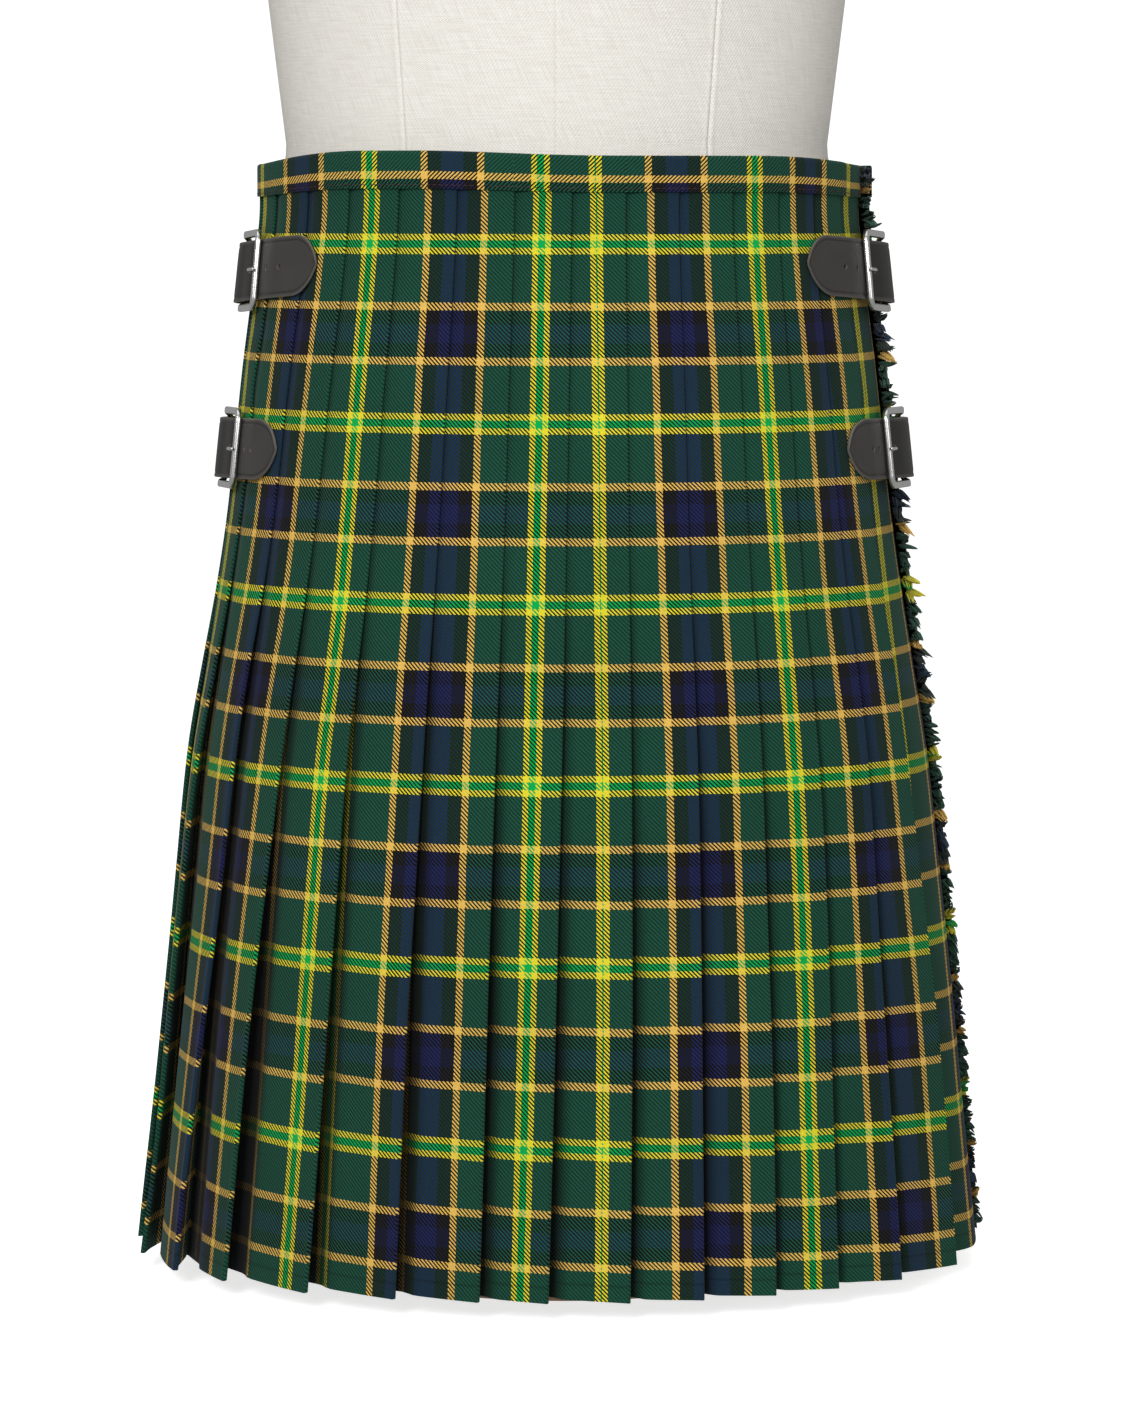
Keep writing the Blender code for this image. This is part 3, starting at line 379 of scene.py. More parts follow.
# %% Tartan cloth
def tartan_material():
    """Which yarn is on top: a wave along u - v, so its lines run down to the right."""
    material, tree, shader = new_material("tartan_twill")
    uv = tree.nodes.new("ShaderNodeUVMap")
    uv.uv_map = "cloth"
    parts = tree.nodes.new("ShaderNodeSeparateXYZ")
    tree.links.new(uv.outputs[0], parts.inputs[0])
    u, v = parts.outputs[0], parts.outputs[1]
    at = tree.nodes.new("ShaderNodeTexCoord").outputs["Object"]
    wander = math_node(tree, "MULTIPLY_ADD", noise(tree, at, 60.0), 0.0006, -0.0003)
    warp = yarn_ramp(tree, math_node(tree, "ADD", u, wander), WARP, WARP_REPEAT)
    weft_at = math_node(tree, "ADD", math_node(tree, "SUBTRACT", v, FIRST_WEFT), wander)
    weft = yarn_ramp(tree, math_node(tree, "ADD", weft_at, WEFT_REPEAT), WEFT, WEFT_REPEAT)
    # One wave picks the top yarn; it is cut steeply, so each float has a clear edge
    diagonal = math_node(tree, "DIVIDE", math_node(tree, "SUBTRACT", u, v), TWILL_PITCH)
    wave = math_node(tree, "SINE", math_node(tree, "MULTIPLY", diagonal, 2 * math.pi))
    on_top = math_node(tree, "MULTIPLY_ADD", wave, 3.2, 0.5)
    on_top.node.use_clamp = True
    yarns = mix_colour(tree, on_top, weft, warp)
    # A bright yarn keeps its light; a dark one between bright ones is painted near black, as painted shade
    bright = [math_node(tree, "MULTIPLY", value_of(tree, side), 3.6) for side in (weft, warp)]
    for share in bright:
        share.node.use_clamp = True
    own = math_node(tree, "ADD", math_node(tree, "MULTIPLY", bright[1], on_top),
                    math_node(tree, "MULTIPLY", bright[0], math_node(tree, "SUBTRACT", 1.0, on_top)))
    hidden = math_node(tree, "SUBTRACT", math_node(tree, "MAXIMUM", *bright), own)
    # Painted light and shade of the twill's ribs: a dark yarn is lighter or darker along the diagonal
    ground = math_node(tree, "MINIMUM", math_node(tree, "MULTIPLY_ADD", wave, 0.85, 0.85), 1.22)
    dark_part = math_node(tree, "MULTIPLY", ground, math_node(tree, "SUBTRACT", 1.0, own))
    light = math_node(tree, "ADD", dark_part, own)
    light = math_node(tree, "MULTIPLY", light, math_node(tree, "MULTIPLY_ADD", hidden, -0.97, 1.0))
    fleck = math_node(tree, "MULTIPLY_ADD", noise(tree, at, 1100.0, 3.0), 0.60, 0.66)
    cloud = math_node(tree, "MULTIPLY_ADD", noise(tree, at, 14.0, 2.0), 0.24, 0.74)
    light = math_node(tree, "MULTIPLY", math_node(tree, "MULTIPLY", light, fleck), cloud)
    # A row of hemming stitches shows as a faint line over the hem
    from_hem = math_node(tree, "DIVIDE", math_node(tree, "SUBTRACT", v, HEM_LINE), 0.0007)
    squared = math_node(tree, "MULTIPLY", from_hem, from_hem)
    bell = math_node(tree, "EXPONENT", math_node(tree, "MULTIPLY", squared, -1.0))
    light = math_node(tree, "MULTIPLY", light, math_node(tree, "MULTIPLY_ADD", bell, -0.30, 1.0))
    # The photo's folds are almost black inside; wide soft lights leave them paler, so the cloth
    # itself is shaded there, by the number that each pleat keeps for how deep it lies
    fold = tree.nodes.new("ShaderNodeAttribute")
    fold.attribute_name = "in_fold"
    shaded = math_node(tree, "MULTIPLY_ADD", fold.outputs["Fac"], -0.90, 1.0)
    light = math_node(tree, "MULTIPLY", light, shaded)
    grey = tree.nodes.new("ShaderNodeCombineColor")
    for socket in grey.inputs:
        tree.links.new(light, socket)
    tree.links.new(mix_colour(tree, 1.0, yarns, grey.outputs[0], "MULTIPLY"), shader.inputs["Base Color"])
    shader.inputs["Roughness"].default_value = 0.92
    shader.inputs["Specular IOR Level"].default_value = 0.16
    shader.inputs["Sheen Weight"].default_value = 0.05
    shader.inputs["Sheen Roughness"].default_value = 0.5
    groove = math_node(tree, "MULTIPLY", bell, -2.0)
    height = math_node(tree, "ADD", math_node(tree, "ABSOLUTE", wave), groove)
    set_bump(tree, shader, math_node(tree, "MULTIPLY", height, fleck), 0.30, 0.0003)
    return material


TARTAN = tartan_material()
print("tartan: repeat", WARP_REPEAT, "by", WEFT_REPEAT, "m")

# %% [markdown]
# ## Knife pleats
# Each pleat has a face that shows, a fold edge where the cloth turns back under itself, a hidden
# length, and an inner fold that leads on to the next face. Down to the hips the pleats are sewn
# flat, so only thin lines show. Below, each fold edge stands further out and droops a little at
# the hem. The path of one pleat is worked out at every level at once.

# %% Tables of the folds
HEM_DROOP, SEAM_IN_FOLD, SEAM_GAP = 0.0025, 0.0030, 0.0003
CLOTH = 0.0009
FOLD_COLUMNS = ("number", "share_at_waist", "share_at_hem", "lift_at_hem", "stripe", "wave", "phase")
FOLDS = np.array([
    (-8, -0.2680, -0.2840, 0.0150, 0.320, 0.0006, 0.4),
    (-7, -0.2350, -0.2510, 0.0155, 0.352, 0.0008, 2.1),
    (-6, -0.2017, -0.2165, 0.0180, 0.000, 0.0010, 0.9),
    (-5, -0.1662, -0.1785, 0.0195, 0.033, 0.0012, 3.3),
    (-4, -0.1325, -0.1490, 0.0185, 0.064, 0.0010, 5.0),
    (-3, -0.0986, -0.1075, 0.0165, 0.096, 0.0008, 1.7),
    (-2, -0.0622, -0.0690, 0.0150, 0.129, 0.0009, 4.4),
    (-1, -0.0279, -0.0340, 0.0140, 0.160, 0.0006, 0.2),
    (0, 0.0058, -0.0058, 0.0130, 0.288, 0.0007, 2.8),
    (1, 0.0372, 0.0275, 0.0140, 0.192, 0.0006, 5.6),
    (2, 0.0690, 0.0582, 0.0135, 0.225, 0.0008, 1.1),
    (3, 0.1030, 0.0893, 0.0140, 0.256, 0.0007, 3.9),
    (4, 0.1348, 0.1190, 0.0145, 0.288, 0.0008, 0.6),
    (5, 0.1626, 0.1515, 0.0150, 0.321, 0.0009, 2.4),
    (6, 0.1894, 0.1905, 0.0165, 0.352, 0.0010, 4.7),
])
STRIPE_TO_FOLD = 0.0160


def opened(level):
    """0 where the pleats are sewn, 1 at the hem."""
    return (read_curve(OPENING, 1, level) - CAD_CREST) / (OPENING[-1, 1] - CAD_CREST)


def layer(level):
    """One layer of cloth with its gap: tight where sewn, looser at the hem."""
    return mix(0.00105, 0.00160, opened(level))


def inner_out(level):
    """How far out the innermost layer lies, so that the outermost one meets the outline."""
    return CAD_CREST + CAD_CLOTH / 2 - 2 * layer(level) - CLOTH / 2


def fold_edge(number, level):
    row = FOLDS[number + 8]
    return mix(row[1], row[2], level / LENGTH) * girth(level)


def fold_lift(number, level):
    """Height of a fold edge over the innermost layer, with a slow wave along the fold."""
    row = FOLDS[number + 8]
    wave = row[5] * np.sin(level * 19.0 + row[6]) * smooth((level - 0.22) / 0.12)
    return 2 * layer(level) + (row[3] - CAD_CREST) * opened(level) + wave


# %% The path of one pleat
FACE_STEPS = np.linspace(0.0, 1.0, 18) ** 0.9
OUTER_TURN = np.radians([14, 42, 70, 98, 126, 154, 180])
INNER_TURN = np.radians([0, 45, 90, 135, 180])


def fold_back(edge, lap, lift, level):
    """Round the fold edge, back under the face, and round the inner fold."""
    r = mix(layer(level) / 2, 0.00125, opened(level))
    ri = layer(level) / 2
    outer = (edge - r + r * np.sin(OUTER_TURN), lift - r + r * np.cos(OUTER_TURN))
    way = np.array([0.30, 0.65, 0.90])
    back = (mix(edge - r, edge - lap, way), mix(lift - 2 * r, 2 * ri, smooth(way) * 0.4 + way * 0.6))
    inner = (edge - lap - ri * np.sin(INNER_TURN), ri + ri * np.cos(INNER_TURN))
    return tuple(np.concatenate([a, b, c], axis=1) for a, b, c in zip(outer, back, inner))


def face_height(x, pitch, lap, lift, level):
    """The face climbs off the pleat before it within 10 mm, then leans out to its own edge."""
    flat = 2 * layer(level) * smooth(x / 0.010)
    lean = (lift - 2 * layer(level)) * (np.maximum(x + lap, 0.0) / (pitch + lap)) ** 1.2
    return flat + lean


def in_fold(x, level):
    """1 under the pleat before, falling off past its edge; wider where the pleats stand open."""
    open_here = smooth((level - 0.17) / 0.30)
    return mix(0.35, 1.0, open_here) * (1 - smooth((x + 0.0015) / mix(0.0022, 0.0092, open_here))) ** 1.3


def pleat_path(number, level):
    """Lengths round, heights, cloth coordinate and shade of one pleat; one row a level."""
    lap = read_curve(OPENING, 2, level)
    before, edge = fold_edge(number - 1, level), fold_edge(number, level)
    lift = fold_lift(number, level)
    pitch = edge - before
    r = mix(layer(level) / 2, 0.00125, opened(level))
    x = mix(0.0004 - lap, pitch - r, FACE_STEPS)
    s, out = fold_back(edge, lap, lift, level)
    shade = np.concatenate([in_fold(x, level), 0 * s], axis=1)
    s = np.concatenate([before + x, s], axis=1)
    out = np.concatenate([face_height(x, pitch, lap, lift, level), out], axis=1)
    travel = np.hypot(np.diff(s, axis=1), np.diff(out, axis=1))
    travel = np.concatenate([np.zeros_like(level), np.cumsum(travel, axis=1)], axis=1)
    at_edge = travel[:, len(FACE_STEPS) + 3:len(FACE_STEPS) + 4]
    return s, out + inner_out(level), FOLDS[number + 8, 4] + STRIPE_TO_FOLD + travel - at_edge, shade


LEVELS = mix(0.002, LENGTH, np.linspace(0.0, 1.0, 97))[:, None]
print("one pleat's path has", pleat_path(0, LEVELS)[0].shape[1], "points at", len(LEVELS), "levels")

# %% [markdown]
# Cloth that is worn is never quite regular. A short table places soft troughs and ridges: small drags
# under the straps, hollows where the sewing ends and the pleats start to open, and slow folds down the
# front apron. Each is a long, low hump that fades at both ends and both sides.

# %% Soft creases
CREASE_COLUMNS = ("from_level", "to_level", "from_share", "to_share", "half_width", "height")
CREASES = (
    (0.175, 0.300, -0.150, -0.152, 0.010, -0.0012),
    (0.185, 0.330, -0.112, -0.118, 0.012, -0.0010),
    (0.180, 0.290, -0.045, -0.048, 0.011, -0.0008),
    (0.200, 0.345, 0.022, 0.020, 0.013, -0.0009),
    (0.190, 0.310, 0.086, 0.080, 0.011, -0.0010),
    (0.180, 0.320, 0.148, 0.142, 0.010, -0.0011),
    (0.098, 0.150, -0.215, -0.200, 0.008, 0.0010),
    (0.100, 0.145, 0.185, 0.196, 0.007, 0.0009),
    (0.330, 0.560, -0.072, -0.075, 0.018, 0.0012),
    (0.360, 0.600, 0.040, 0.036, 0.016, 0.0011),
    (0.400, 0.600, 0.136, 0.132, 0.015, -0.0012),
    (0.250, 0.600, -0.395, -0.380, 0.030, 0.0030),
    (0.300, 0.600, -0.450, -0.455, 0.034, -0.0026),
    (0.220, 0.600, -0.520, -0.530, 0.036, 0.0030),
    (0.320, 0.600, -0.595, -0.590, 0.030, -0.0024),
    (0.260, 0.600, -0.655, -0.650, 0.026, 0.0026),
    (0.080, 0.170, -0.335, -0.330, 0.016, -0.0014),
    (0.100, 0.190, -0.660, -0.668, 0.015, -0.0013),
)


def crease(level, s):
    """The sum of all creases: a bell across each one, times a smooth rise and fall along it."""
    share = s / girth(level)
    total = np.zeros(np.broadcast(level, s).shape)
    for top, bottom, start, end, half, height in CREASES:
        t = (level - top) / (bottom - top)
        away = (share - mix(start, end, t)) * girth(level) / half
        last = 1.0 if bottom >= 0.6 else 1 - smooth((t - 0.6) / 0.4)
        total += height * np.exp(-away ** 2) * smooth(t / 0.4) * last
    return total


# %% Cloth shell
def cloth_shell(name, level, s, out, u, replaces, shade=None):
    """A closed shell of cloth on a path given at every level; out of the fold it droops."""
    out = out + crease(level, s)
    lift = read_curve(OPENING, 1, level)
    droop = HEM_DROOP * smooth((level - 0.30) / 0.312)
    grids = []
    for side_s, side_out in both_sides(s, out, CLOTH):
        grids.append(place(level, side_s, side_out, droop * np.clip(side_out / lift, 0.0, 1.2)))
    uv = np.stack([u, np.broadcast_to(level, u.shape)], axis=-1)
    mesh = make_mesh(name, np.stack(grids), shell_quads(*s.shape), np.stack([uv, uv]))
    mark(mesh, "in_fold", np.stack(2 * [0 * s if shade is None else shade]))
    piece = add_piece(name, mesh, TARTAN, replaces)
    widths = np.hypot(np.diff(s, axis=1), np.diff(out, axis=1)).sum(axis=1)
    height = float(level[-1, 0] - level[0, 0])
    return piece, float(widths.max()), float(widths.mean()), height


def pleated_cloth(name, first, last, replaces):
    """Pleats from one number to another, with a seam hidden in the folds at both ends."""
    paths = [pleat_path(number, LEVELS) for number in range(first, last + 1)]
    s, out, u, shade = (np.concatenate(parts, axis=1) for parts in zip(*paths))
    lap = read_curve(OPENING, 2, LEVELS)
    start = SEAM_IN_FOLD + SEAM_GAP
    s, out, u = s[:, 1:], out[:, 1:], u[:, 1:]
    s[:, 0] = (fold_edge(first - 1, LEVELS) - lap + start)[:, 0]
    end_s = fold_edge(last, LEVELS) - lap + SEAM_IN_FOLD
    s = np.concatenate([s, end_s], axis=1)
    out = np.concatenate([out, inner_out(LEVELS)], axis=1)
    u = np.concatenate([u, u[:, -1:] + SEAM_IN_FOLD], axis=1)
    return cloth_shell(name, LEVELS, s, out, u, replaces, shade)


sheets = {}
sheets["pleats_left"] = pleated_cloth("pleats_left_cloth", -7, 0, ["pleats_left"])
sheets["pleats_right"] = pleated_cloth("pleats_right_cloth", 1, 6, ["pleats_right"])

# %% [markdown]
# ## Aprons
# The over apron starts at its fringed edge on the wearer's right, crosses the front, and ends in
# one more fold on the left hip, where the pleats begin. The under apron starts below the last
# pleat and lies inside it. Both are single layers, so their paths are plain lines round the front.

# %% Aprons
def apron_out(level, s):
    """The over apron's height: its stand-off, coming down to the first fold's own lift."""
    stand_off = read_curve(OPENING, 3, level) + (CAD_CLOTH - CLOTH) / 2
    lap = read_curve(OPENING, 2, level)
    near = smooth((s - (fold_edge(-8, level) - lap - 0.026)) / 0.026)
    return mix(stand_off, inner_out(level) + fold_lift(-8, level), near)


def fringed_edge(level):
    return mix(-0.7570, -0.7320, level / LENGTH) * girth(level)


def over_apron():
    level = LEVELS
    lap, edge = read_curve(OPENING, 2, level), fold_edge(-8, level)
    flat = mix(fringed_edge(level), edge - lap - 0.026, np.linspace(0.0, 1.0, 110))
    near = mix(edge - lap - 0.026, edge - 0.00125, np.linspace(0.0, 1.0, 16)[1:])
    s = np.concatenate([flat, near], axis=1)
    out = apron_out(level, s)
    back_s, back_out = fold_back(edge, lap, fold_lift(-8, level), level)
    s = np.concatenate([s, back_s, edge - lap + SEAM_IN_FOLD], axis=1)
    out = np.concatenate([out, back_out + inner_out(level), inner_out(level)], axis=1)
    travel = np.hypot(np.diff(s, axis=1), np.diff(out, axis=1))
    travel = np.concatenate([np.zeros_like(level), np.cumsum(travel, axis=1)], axis=1)
    to_centre = -0.5 * girth(level) - fringed_edge(level)
    return cloth_shell("over_apron_cloth", level, s, out, 0.096 + travel - to_centre, ["over_apron"])


def under_apron():
    level = LEVELS
    lap, edge = read_curve(OPENING, 2, level), fold_edge(6, level)
    start = edge - lap + SEAM_IN_FOLD + SEAM_GAP
    s = np.concatenate([
        mix(start, edge + 0.050, np.linspace(0.0, 1.0, 30)),
        mix(edge + 0.050, 0.6900 * girth(level), np.linspace(0.0, 1.0, 80)[1:]),
    ], axis=1)
    rise = smooth((s - edge) / 0.050)
    out = mix(inner_out(level), read_curve(OPENING, 4, level), rise)
    stripe = mix(0.2017, 0.1978, level / LENGTH) * girth(level)
    return cloth_shell("under_apron_cloth", level, s, out, 0.384 + s - stripe, ["under_apron"])


sheets["over_apron"] = over_apron()
sheets["under_apron"] = under_apron()

# %% [markdown]
# ## Waistband
# The raw top of the kilt is bound with a narrow strip of the same tartan, folded over it and sewn
# down. It follows the whole spiral: over apron, pleats, under apron. Its section is a narrow
# upside-down U, so it is a path too, carried from station to station. Over the pleats its stripes
# carry on theirs, and its twill runs the other way, because the strip is turned.

# %% Waistband
BAND_HEIGHT, BAND_INSIDE, BAND_CLOTH = 0.0205, 0.0110, 0.0010
BAND_WEFT = 0.0705


def band_cloth_coordinate(s, girth_here):
    """The stripes of whatever cloth the band lies on, so that they line up."""
    u = 0.096 + s + 0.5 * girth_here
    for number in range(-7, 7):
        before, edge = fold_edge(number - 1, BAND_LEVEL), fold_edge(number, BAND_LEVEL)
        inside = (s > before) & (s <= edge)
        u = np.where(inside, FOLDS[number + 8, 4] + STRIPE_TO_FOLD - (edge - s), u)
    last = fold_edge(6, BAND_LEVEL)
    return np.where(s > last, 0.384 + s - 0.2017 * girth_here, u)


def band_legs(s):
    """Heights of the outer and the inner leg of the fold."""
    leg = CLOTH / 2 + 0.00035 + BAND_CLOTH / 2
    flat = inner_out(BAND_LEVEL)
    top = flat + 2 * layer(BAND_LEVEL)
    first, last = fold_edge(-8, BAND_LEVEL), fold_edge(6, BAND_LEVEL)
    lap = read_curve(OPENING, 2, BAND_LEVEL)
    apron = apron_out(BAND_LEVEL, s)
    under = mix(flat, 0.0, smooth((s - last) / 0.050))
    over = mix(top, under, smooth((s - last) / 0.012))
    dive = smooth((s - (first - lap - 0.019)) / 0.016)
    outer = np.where(s <= first, apron, over) + leg
    inner = np.where(s <= first, mix(apron, flat, dive), np.where(s <= last, flat, under)) - leg
    return outer, inner


BAND_LEVEL = np.array(0.012)
band_girth = float(girth(BAND_LEVEL))
evenly = np.arange(float(fringed_edge(BAND_LEVEL)), 0.69 * band_girth, 0.0030)
breaks = np.array([float(fold_edge(n, BAND_LEVEL)) for n in range(-8, 7)])
stations = np.sort(np.concatenate([evenly, breaks - 0.00001, breaks + 0.00001]))[:, None]
outer_leg, inner_leg = band_legs(stations)
corner = np.radians([0, 30, 60, 90])[None, :]
r, edge_level = 0.0014, BAND_CLOTH / 2
down_outside = np.array([[BAND_HEIGHT, 0.016, 0.011, 0.006, 0.003]])
down_inside = np.array([[0.003, 0.006, BAND_INSIDE]])
band_out = np.concatenate([
    outer_leg + 0 * down_outside,
    outer_leg - r + r * np.cos(corner),
    inner_leg + r - r * np.cos(corner[:, ::-1]),
    inner_leg + 0 * down_inside,
], axis=1)
over_top = edge_level + r - r * np.sin(corner)
band_level = np.concatenate([down_outside, over_top, over_top[:, ::-1], down_inside], axis=1) + 0 * band_out
band_sides = [place(level, stations, out) for out, level in both_sides(band_out, band_level, BAND_CLOTH)]
band_v = np.cumsum(np.hypot(np.diff(band_out, axis=1), np.diff(band_level, axis=1)), axis=1)
band_v = BAND_HEIGHT + BAND_WEFT - np.concatenate([0 * stations, band_v], axis=1)
band_u = -band_cloth_coordinate(stations, band_girth) + 0 * band_v
band_uv = np.stack([band_u, band_v], axis=-1)
band_quads = shell_quads(*band_out.shape)
band_mesh = make_mesh("waistband", np.stack(band_sides), band_quads, np.stack([band_uv, band_uv]))
waistband = add_piece("waistband_cloth", band_mesh, TARTAN, ["waistband"])
strip_width = float(np.hypot(np.diff(band_out[0]), np.diff(band_level[0])).sum())
sheets["waistband"] = (waistband, float(stations[-1, 0] - stations[0, 0]), 0.0, strip_width)

# %% [markdown]
# A line of dark stitches holds the band down, two millimetres above its lower edge. Each stitch is
# a tiny spindle, and all of them are one mesh.

# %% Stitches
def spindles(name, middles, along, half_length, radius, material, slot):
    """Many small spindles: rings of six points round each middle, thick at the centre."""
    t = np.array([-1.0, -0.6, 0.0, 0.6, 1.0])
    size = radius * np.array([0.15, 0.8, 1.0, 0.8, 0.15])
    angle = np.arange(6) * math.pi / 3
    up = np.cross(along, [0.0, 0.0, 1.0])
    up /= np.linalg.norm(up, axis=1)[:, None]
    side = np.cross(up, along)
    ring = up[:, None, :] * np.cos(angle)[None, :, None] + side[:, None, :] * np.sin(angle)[None, :, None]
    points = middles[:, None, None, :] + along[:, None, None, :] * (half_length * t)[None, :, None, None]
    points = points + ring[:, None, :, :] * size[None, :, None, None]
    one = tube_quads(5, 6)
    quads = (one[None] + 30 * np.arange(len(middles))[:, None, None]).reshape(-1, 4)
    return add_piece(name, make_mesh(name, points, quads), material)


def tube_quads(rows, columns):
    """The side of a closed tube, and both of its ends as strips between opposite points."""
    side = grid_quads(rows, columns, columns_closed=True)
    i = np.arange(columns // 2 - 1)
    start = np.stack([i, columns - 1 - i, columns - 2 - i, i + 1], axis=1)
    return np.concatenate([side, start, start[:, ::-1] + (rows - 1) * columns])


def thread_material(name, shade):
    material, tree, shader = new_material(name)
    place_on_object = tree.nodes.new("ShaderNodeTexCoord").outputs["Object"]
    fleck = noise(tree, place_on_object, 1500.0)
    lighter = tuple(min(1.0, 1.9 * v) for v in shade[:3]) + (1.0,)
    tree.links.new(mix_colour(tree, fleck, shade, lighter), shader.inputs["Base Color"])
    shader.inputs["Roughness"].default_value = 0.8
    set_bump(tree, shader, fleck, 0.4, 0.0002)
    return material


stitch_s = np.arange(float(stations[0, 0]) + 0.002, float(stations[-1, 0]) - 0.002, 0.0034)
stitch_out = band_legs(stitch_s)[0] + BAND_CLOTH / 2 + 0.00005
stitch_at = place(BAND_HEIGHT - 0.0021, stitch_s, stitch_out)
stitch_to = place(BAND_HEIGHT - 0.0021, stitch_s + 0.001, stitch_out) - stitch_at
stitch_to /= np.linalg.norm(stitch_to, axis=1)[:, None]
DARK_THREAD = thread_material("dark_thread", colour(52, 26, 28))
spindles("waistband_stitches", stitch_at, stitch_to, 0.0012, 0.00028, DARK_THREAD, "tartan")

# %% [markdown]
# ## Fringe
# The over apron's edge is fringed: its own weft yarns stick out in short twisted tufts, so each
# tuft has the colour of its place in the weft. Sixteen tapering yarns draw together towards a
# point in each tuft, and the inner ones settle on the under apron. The tufts leave the edge
# towards the back, lift a little off the hip and droop.

# %% Fringe yarns
def yarn_material():
    """The weft's yarn order at the tuft's own height, with a fleck from dark to fuzzy and light."""
    material, tree, shader = new_material("fringe_yarn")
    uv = tree.nodes.new("ShaderNodeUVMap")
    uv.uv_map = "cloth"
    parts = tree.nodes.new("ShaderNodeSeparateXYZ")
    tree.links.new(uv.outputs[0], parts.inputs[0])
    along = math_node(tree, "ADD", parts.outputs[1], WEFT_REPEAT - FIRST_WEFT)
    yarns = yarn_ramp(tree, along, WEFT, WEFT_REPEAT)
    object_place = tree.nodes.new("ShaderNodeTexCoord").outputs["Object"]
    fleck = noise(tree, object_place, 1400.0, 3.0)
    dark = mix_colour(tree, 1.0, yarns, (0.95, 0.95, 0.95, 1.0), "MULTIPLY")
    lighter = mix_colour(tree, 0.20, yarns, (0.28, 0.52, 0.38, 1.0))
    tree.links.new(mix_colour(tree, fleck, dark, lighter), shader.inputs["Base Color"])
    shader.inputs["Roughness"].default_value = 0.95
    shader.inputs["Sheen Weight"].default_value = 0.1
    set_bump(tree, shader, fleck, 0.5, 0.0003)
    return material


BUCKLE_LEVELS = {"upper": 0.066, "lower": 0.164}
chance = np.random.default_rng(11)
tufts = np.linspace(0.003, 0.609, 176) + chance.uniform(-0.0011, 0.0011, 176)
tufts = tufts[np.all([np.abs(tufts - at) > 0.0228 for at in BUCKLE_LEVELS.values()], axis=0)]
count, strands = len(tufts), 16
lower_down = smooth((tufts - 0.20) / 0.22)
reach = chance.uniform(0.0095, 0.0155, count) * mix(1.0, 0.7, lower_down)
lift = chance.uniform(-0.0010, 0.0082, count) * mix(1.0, 0.25, lower_down)
fall = chance.uniform(-0.0030, 0.0042, count)
spread = chance.uniform(-0.0019, 0.0019, (count, strands))
thick = mix(0.0009, -0.0054, chance.uniform(0.0, 1.0, (count, strands)) ** 1.2)
own = chance.uniform(0.74, 1.08, (count, strands))
t = np.array([0.0, 0.15, 0.35, 0.55, 0.75, 0.9, 1.0])
angle = np.array([0.25, 0.75, 1.25, 1.75]) * math.pi
radius = np.array([0.00055, 0.00070, 0.00072, 0.00064, 0.00048, 0.00030, 0.00008])
shape = (count, strands, len(t), 4)
level = tufts[:, None, None, None] + spread[..., None, None] * (1 - 0.62 * t ** 1.5)[:, None]
level = level + (fall[:, None] * own)[..., None, None] * (t ** 2.0)[:, None]
level = level + (radius[:, None] * np.cos(angle))
away = 0.0003 + (reach[:, None] * own)[..., None, None] * (t ** 1.1)[:, None] + np.zeros(shape)
out = read_curve(OPENING, 3, level) + thick[..., None, None] * (smooth(t / 0.3) * (1 - 0.3 * t))[:, None]
out = out + (lift[:, None] * own)[..., None, None] * (t ** 1.5)[:, None] + radius[:, None] * np.sin(angle)
level = np.clip(level, 0.0015, LENGTH)
yarn_points = place(level, fringed_edge(level) - away, out)
one = tube_quads(len(t), 4)
yarn_quads = (one[None] + 4 * len(t) * np.arange(count * strands)[:, None, None]).reshape(-1, 4)
yarn_weft = tufts[:, None, None, None] + 0.3 * spread[..., None, None] + np.zeros(shape)
yarn_uv = np.stack([away, yarn_weft], axis=-1)
yarn_mesh = make_mesh("fringe", yarn_points, yarn_quads, yarn_uv)
add_piece("apron_fringe_yarns", yarn_mesh, yarn_material(), ["apron_fringe"])

# %% [markdown]
# ## Leather straps
# Two straps and buckles sit on each hip. The strap's tail shows, cut to a blunt point, with a
# burnished line pressed in along its edges and a row of punched holes. It passes under the back
# bar, over the front bar, and on to where it is sewn. Its section, a thin rounded slab with two
# fine grooves, is carried along the strap's route.

# %% The hips
STRAP_RISE = {"upper": 0.075, "lower": 0.020}
STRAP_WIDTH, STRAP_THICK, CHAPE_WIDTH, CHAPE_THICK = 0.0335, 0.0018, 0.0270, 0.0012
BACK_BAR_OUT, FRONT_BAR_OUT, HALF_BUCKLE = 0.0099, {1: 0.0101, -1: 0.0078}, 0.0170
TAIL_TIP, TAIL_TAPER = {"upper": -0.0665, "lower": -0.0535}, 0.0175
SPARE_HOLES = {"upper": (-0.0250, -0.0380), "lower": (-0.0240, -0.0320)}


class Hip:
    """The place of one buckle: lengths forward of its centre, out from the cloth, and down."""

    def __init__(self, side, row):
        self.side, self.level, self.rise = side, BUCKLE_LEVELS[row], STRAP_RISE[row]
        self.front_bar, self.tip, self.spare_holes = FRONT_BAR_OUT[side], TAIL_TIP[row], SPARE_HOLES[row]
        level = np.array(self.level)
        a, b = oval(level)
        self.girth = float(girth(level))
        self.centre = float(np.interp(math.radians(79), turn_at(SHARES, b / a), SHARES)) * self.girth
        lap = float(read_curve(OPENING, 2, level))
        self.past_fold = -float(fold_edge(-8, level)) + lap + 0.0014 - self.centre

    def point(self, forward, out, down=0.0):
        level = self.level + forward * self.rise + down
        return place(level, self.side * (self.centre + forward) / self.girth * girth(level), out)


SIDES = {"left": -1, "right": 1}
HIPS = {f"{name}_{row}": Hip(side, row) for name, side in SIDES.items() for row in BUCKLE_LEVELS}
print("buckle centres:", {k: round(h.centre, 4) for k, h in HIPS.items()})

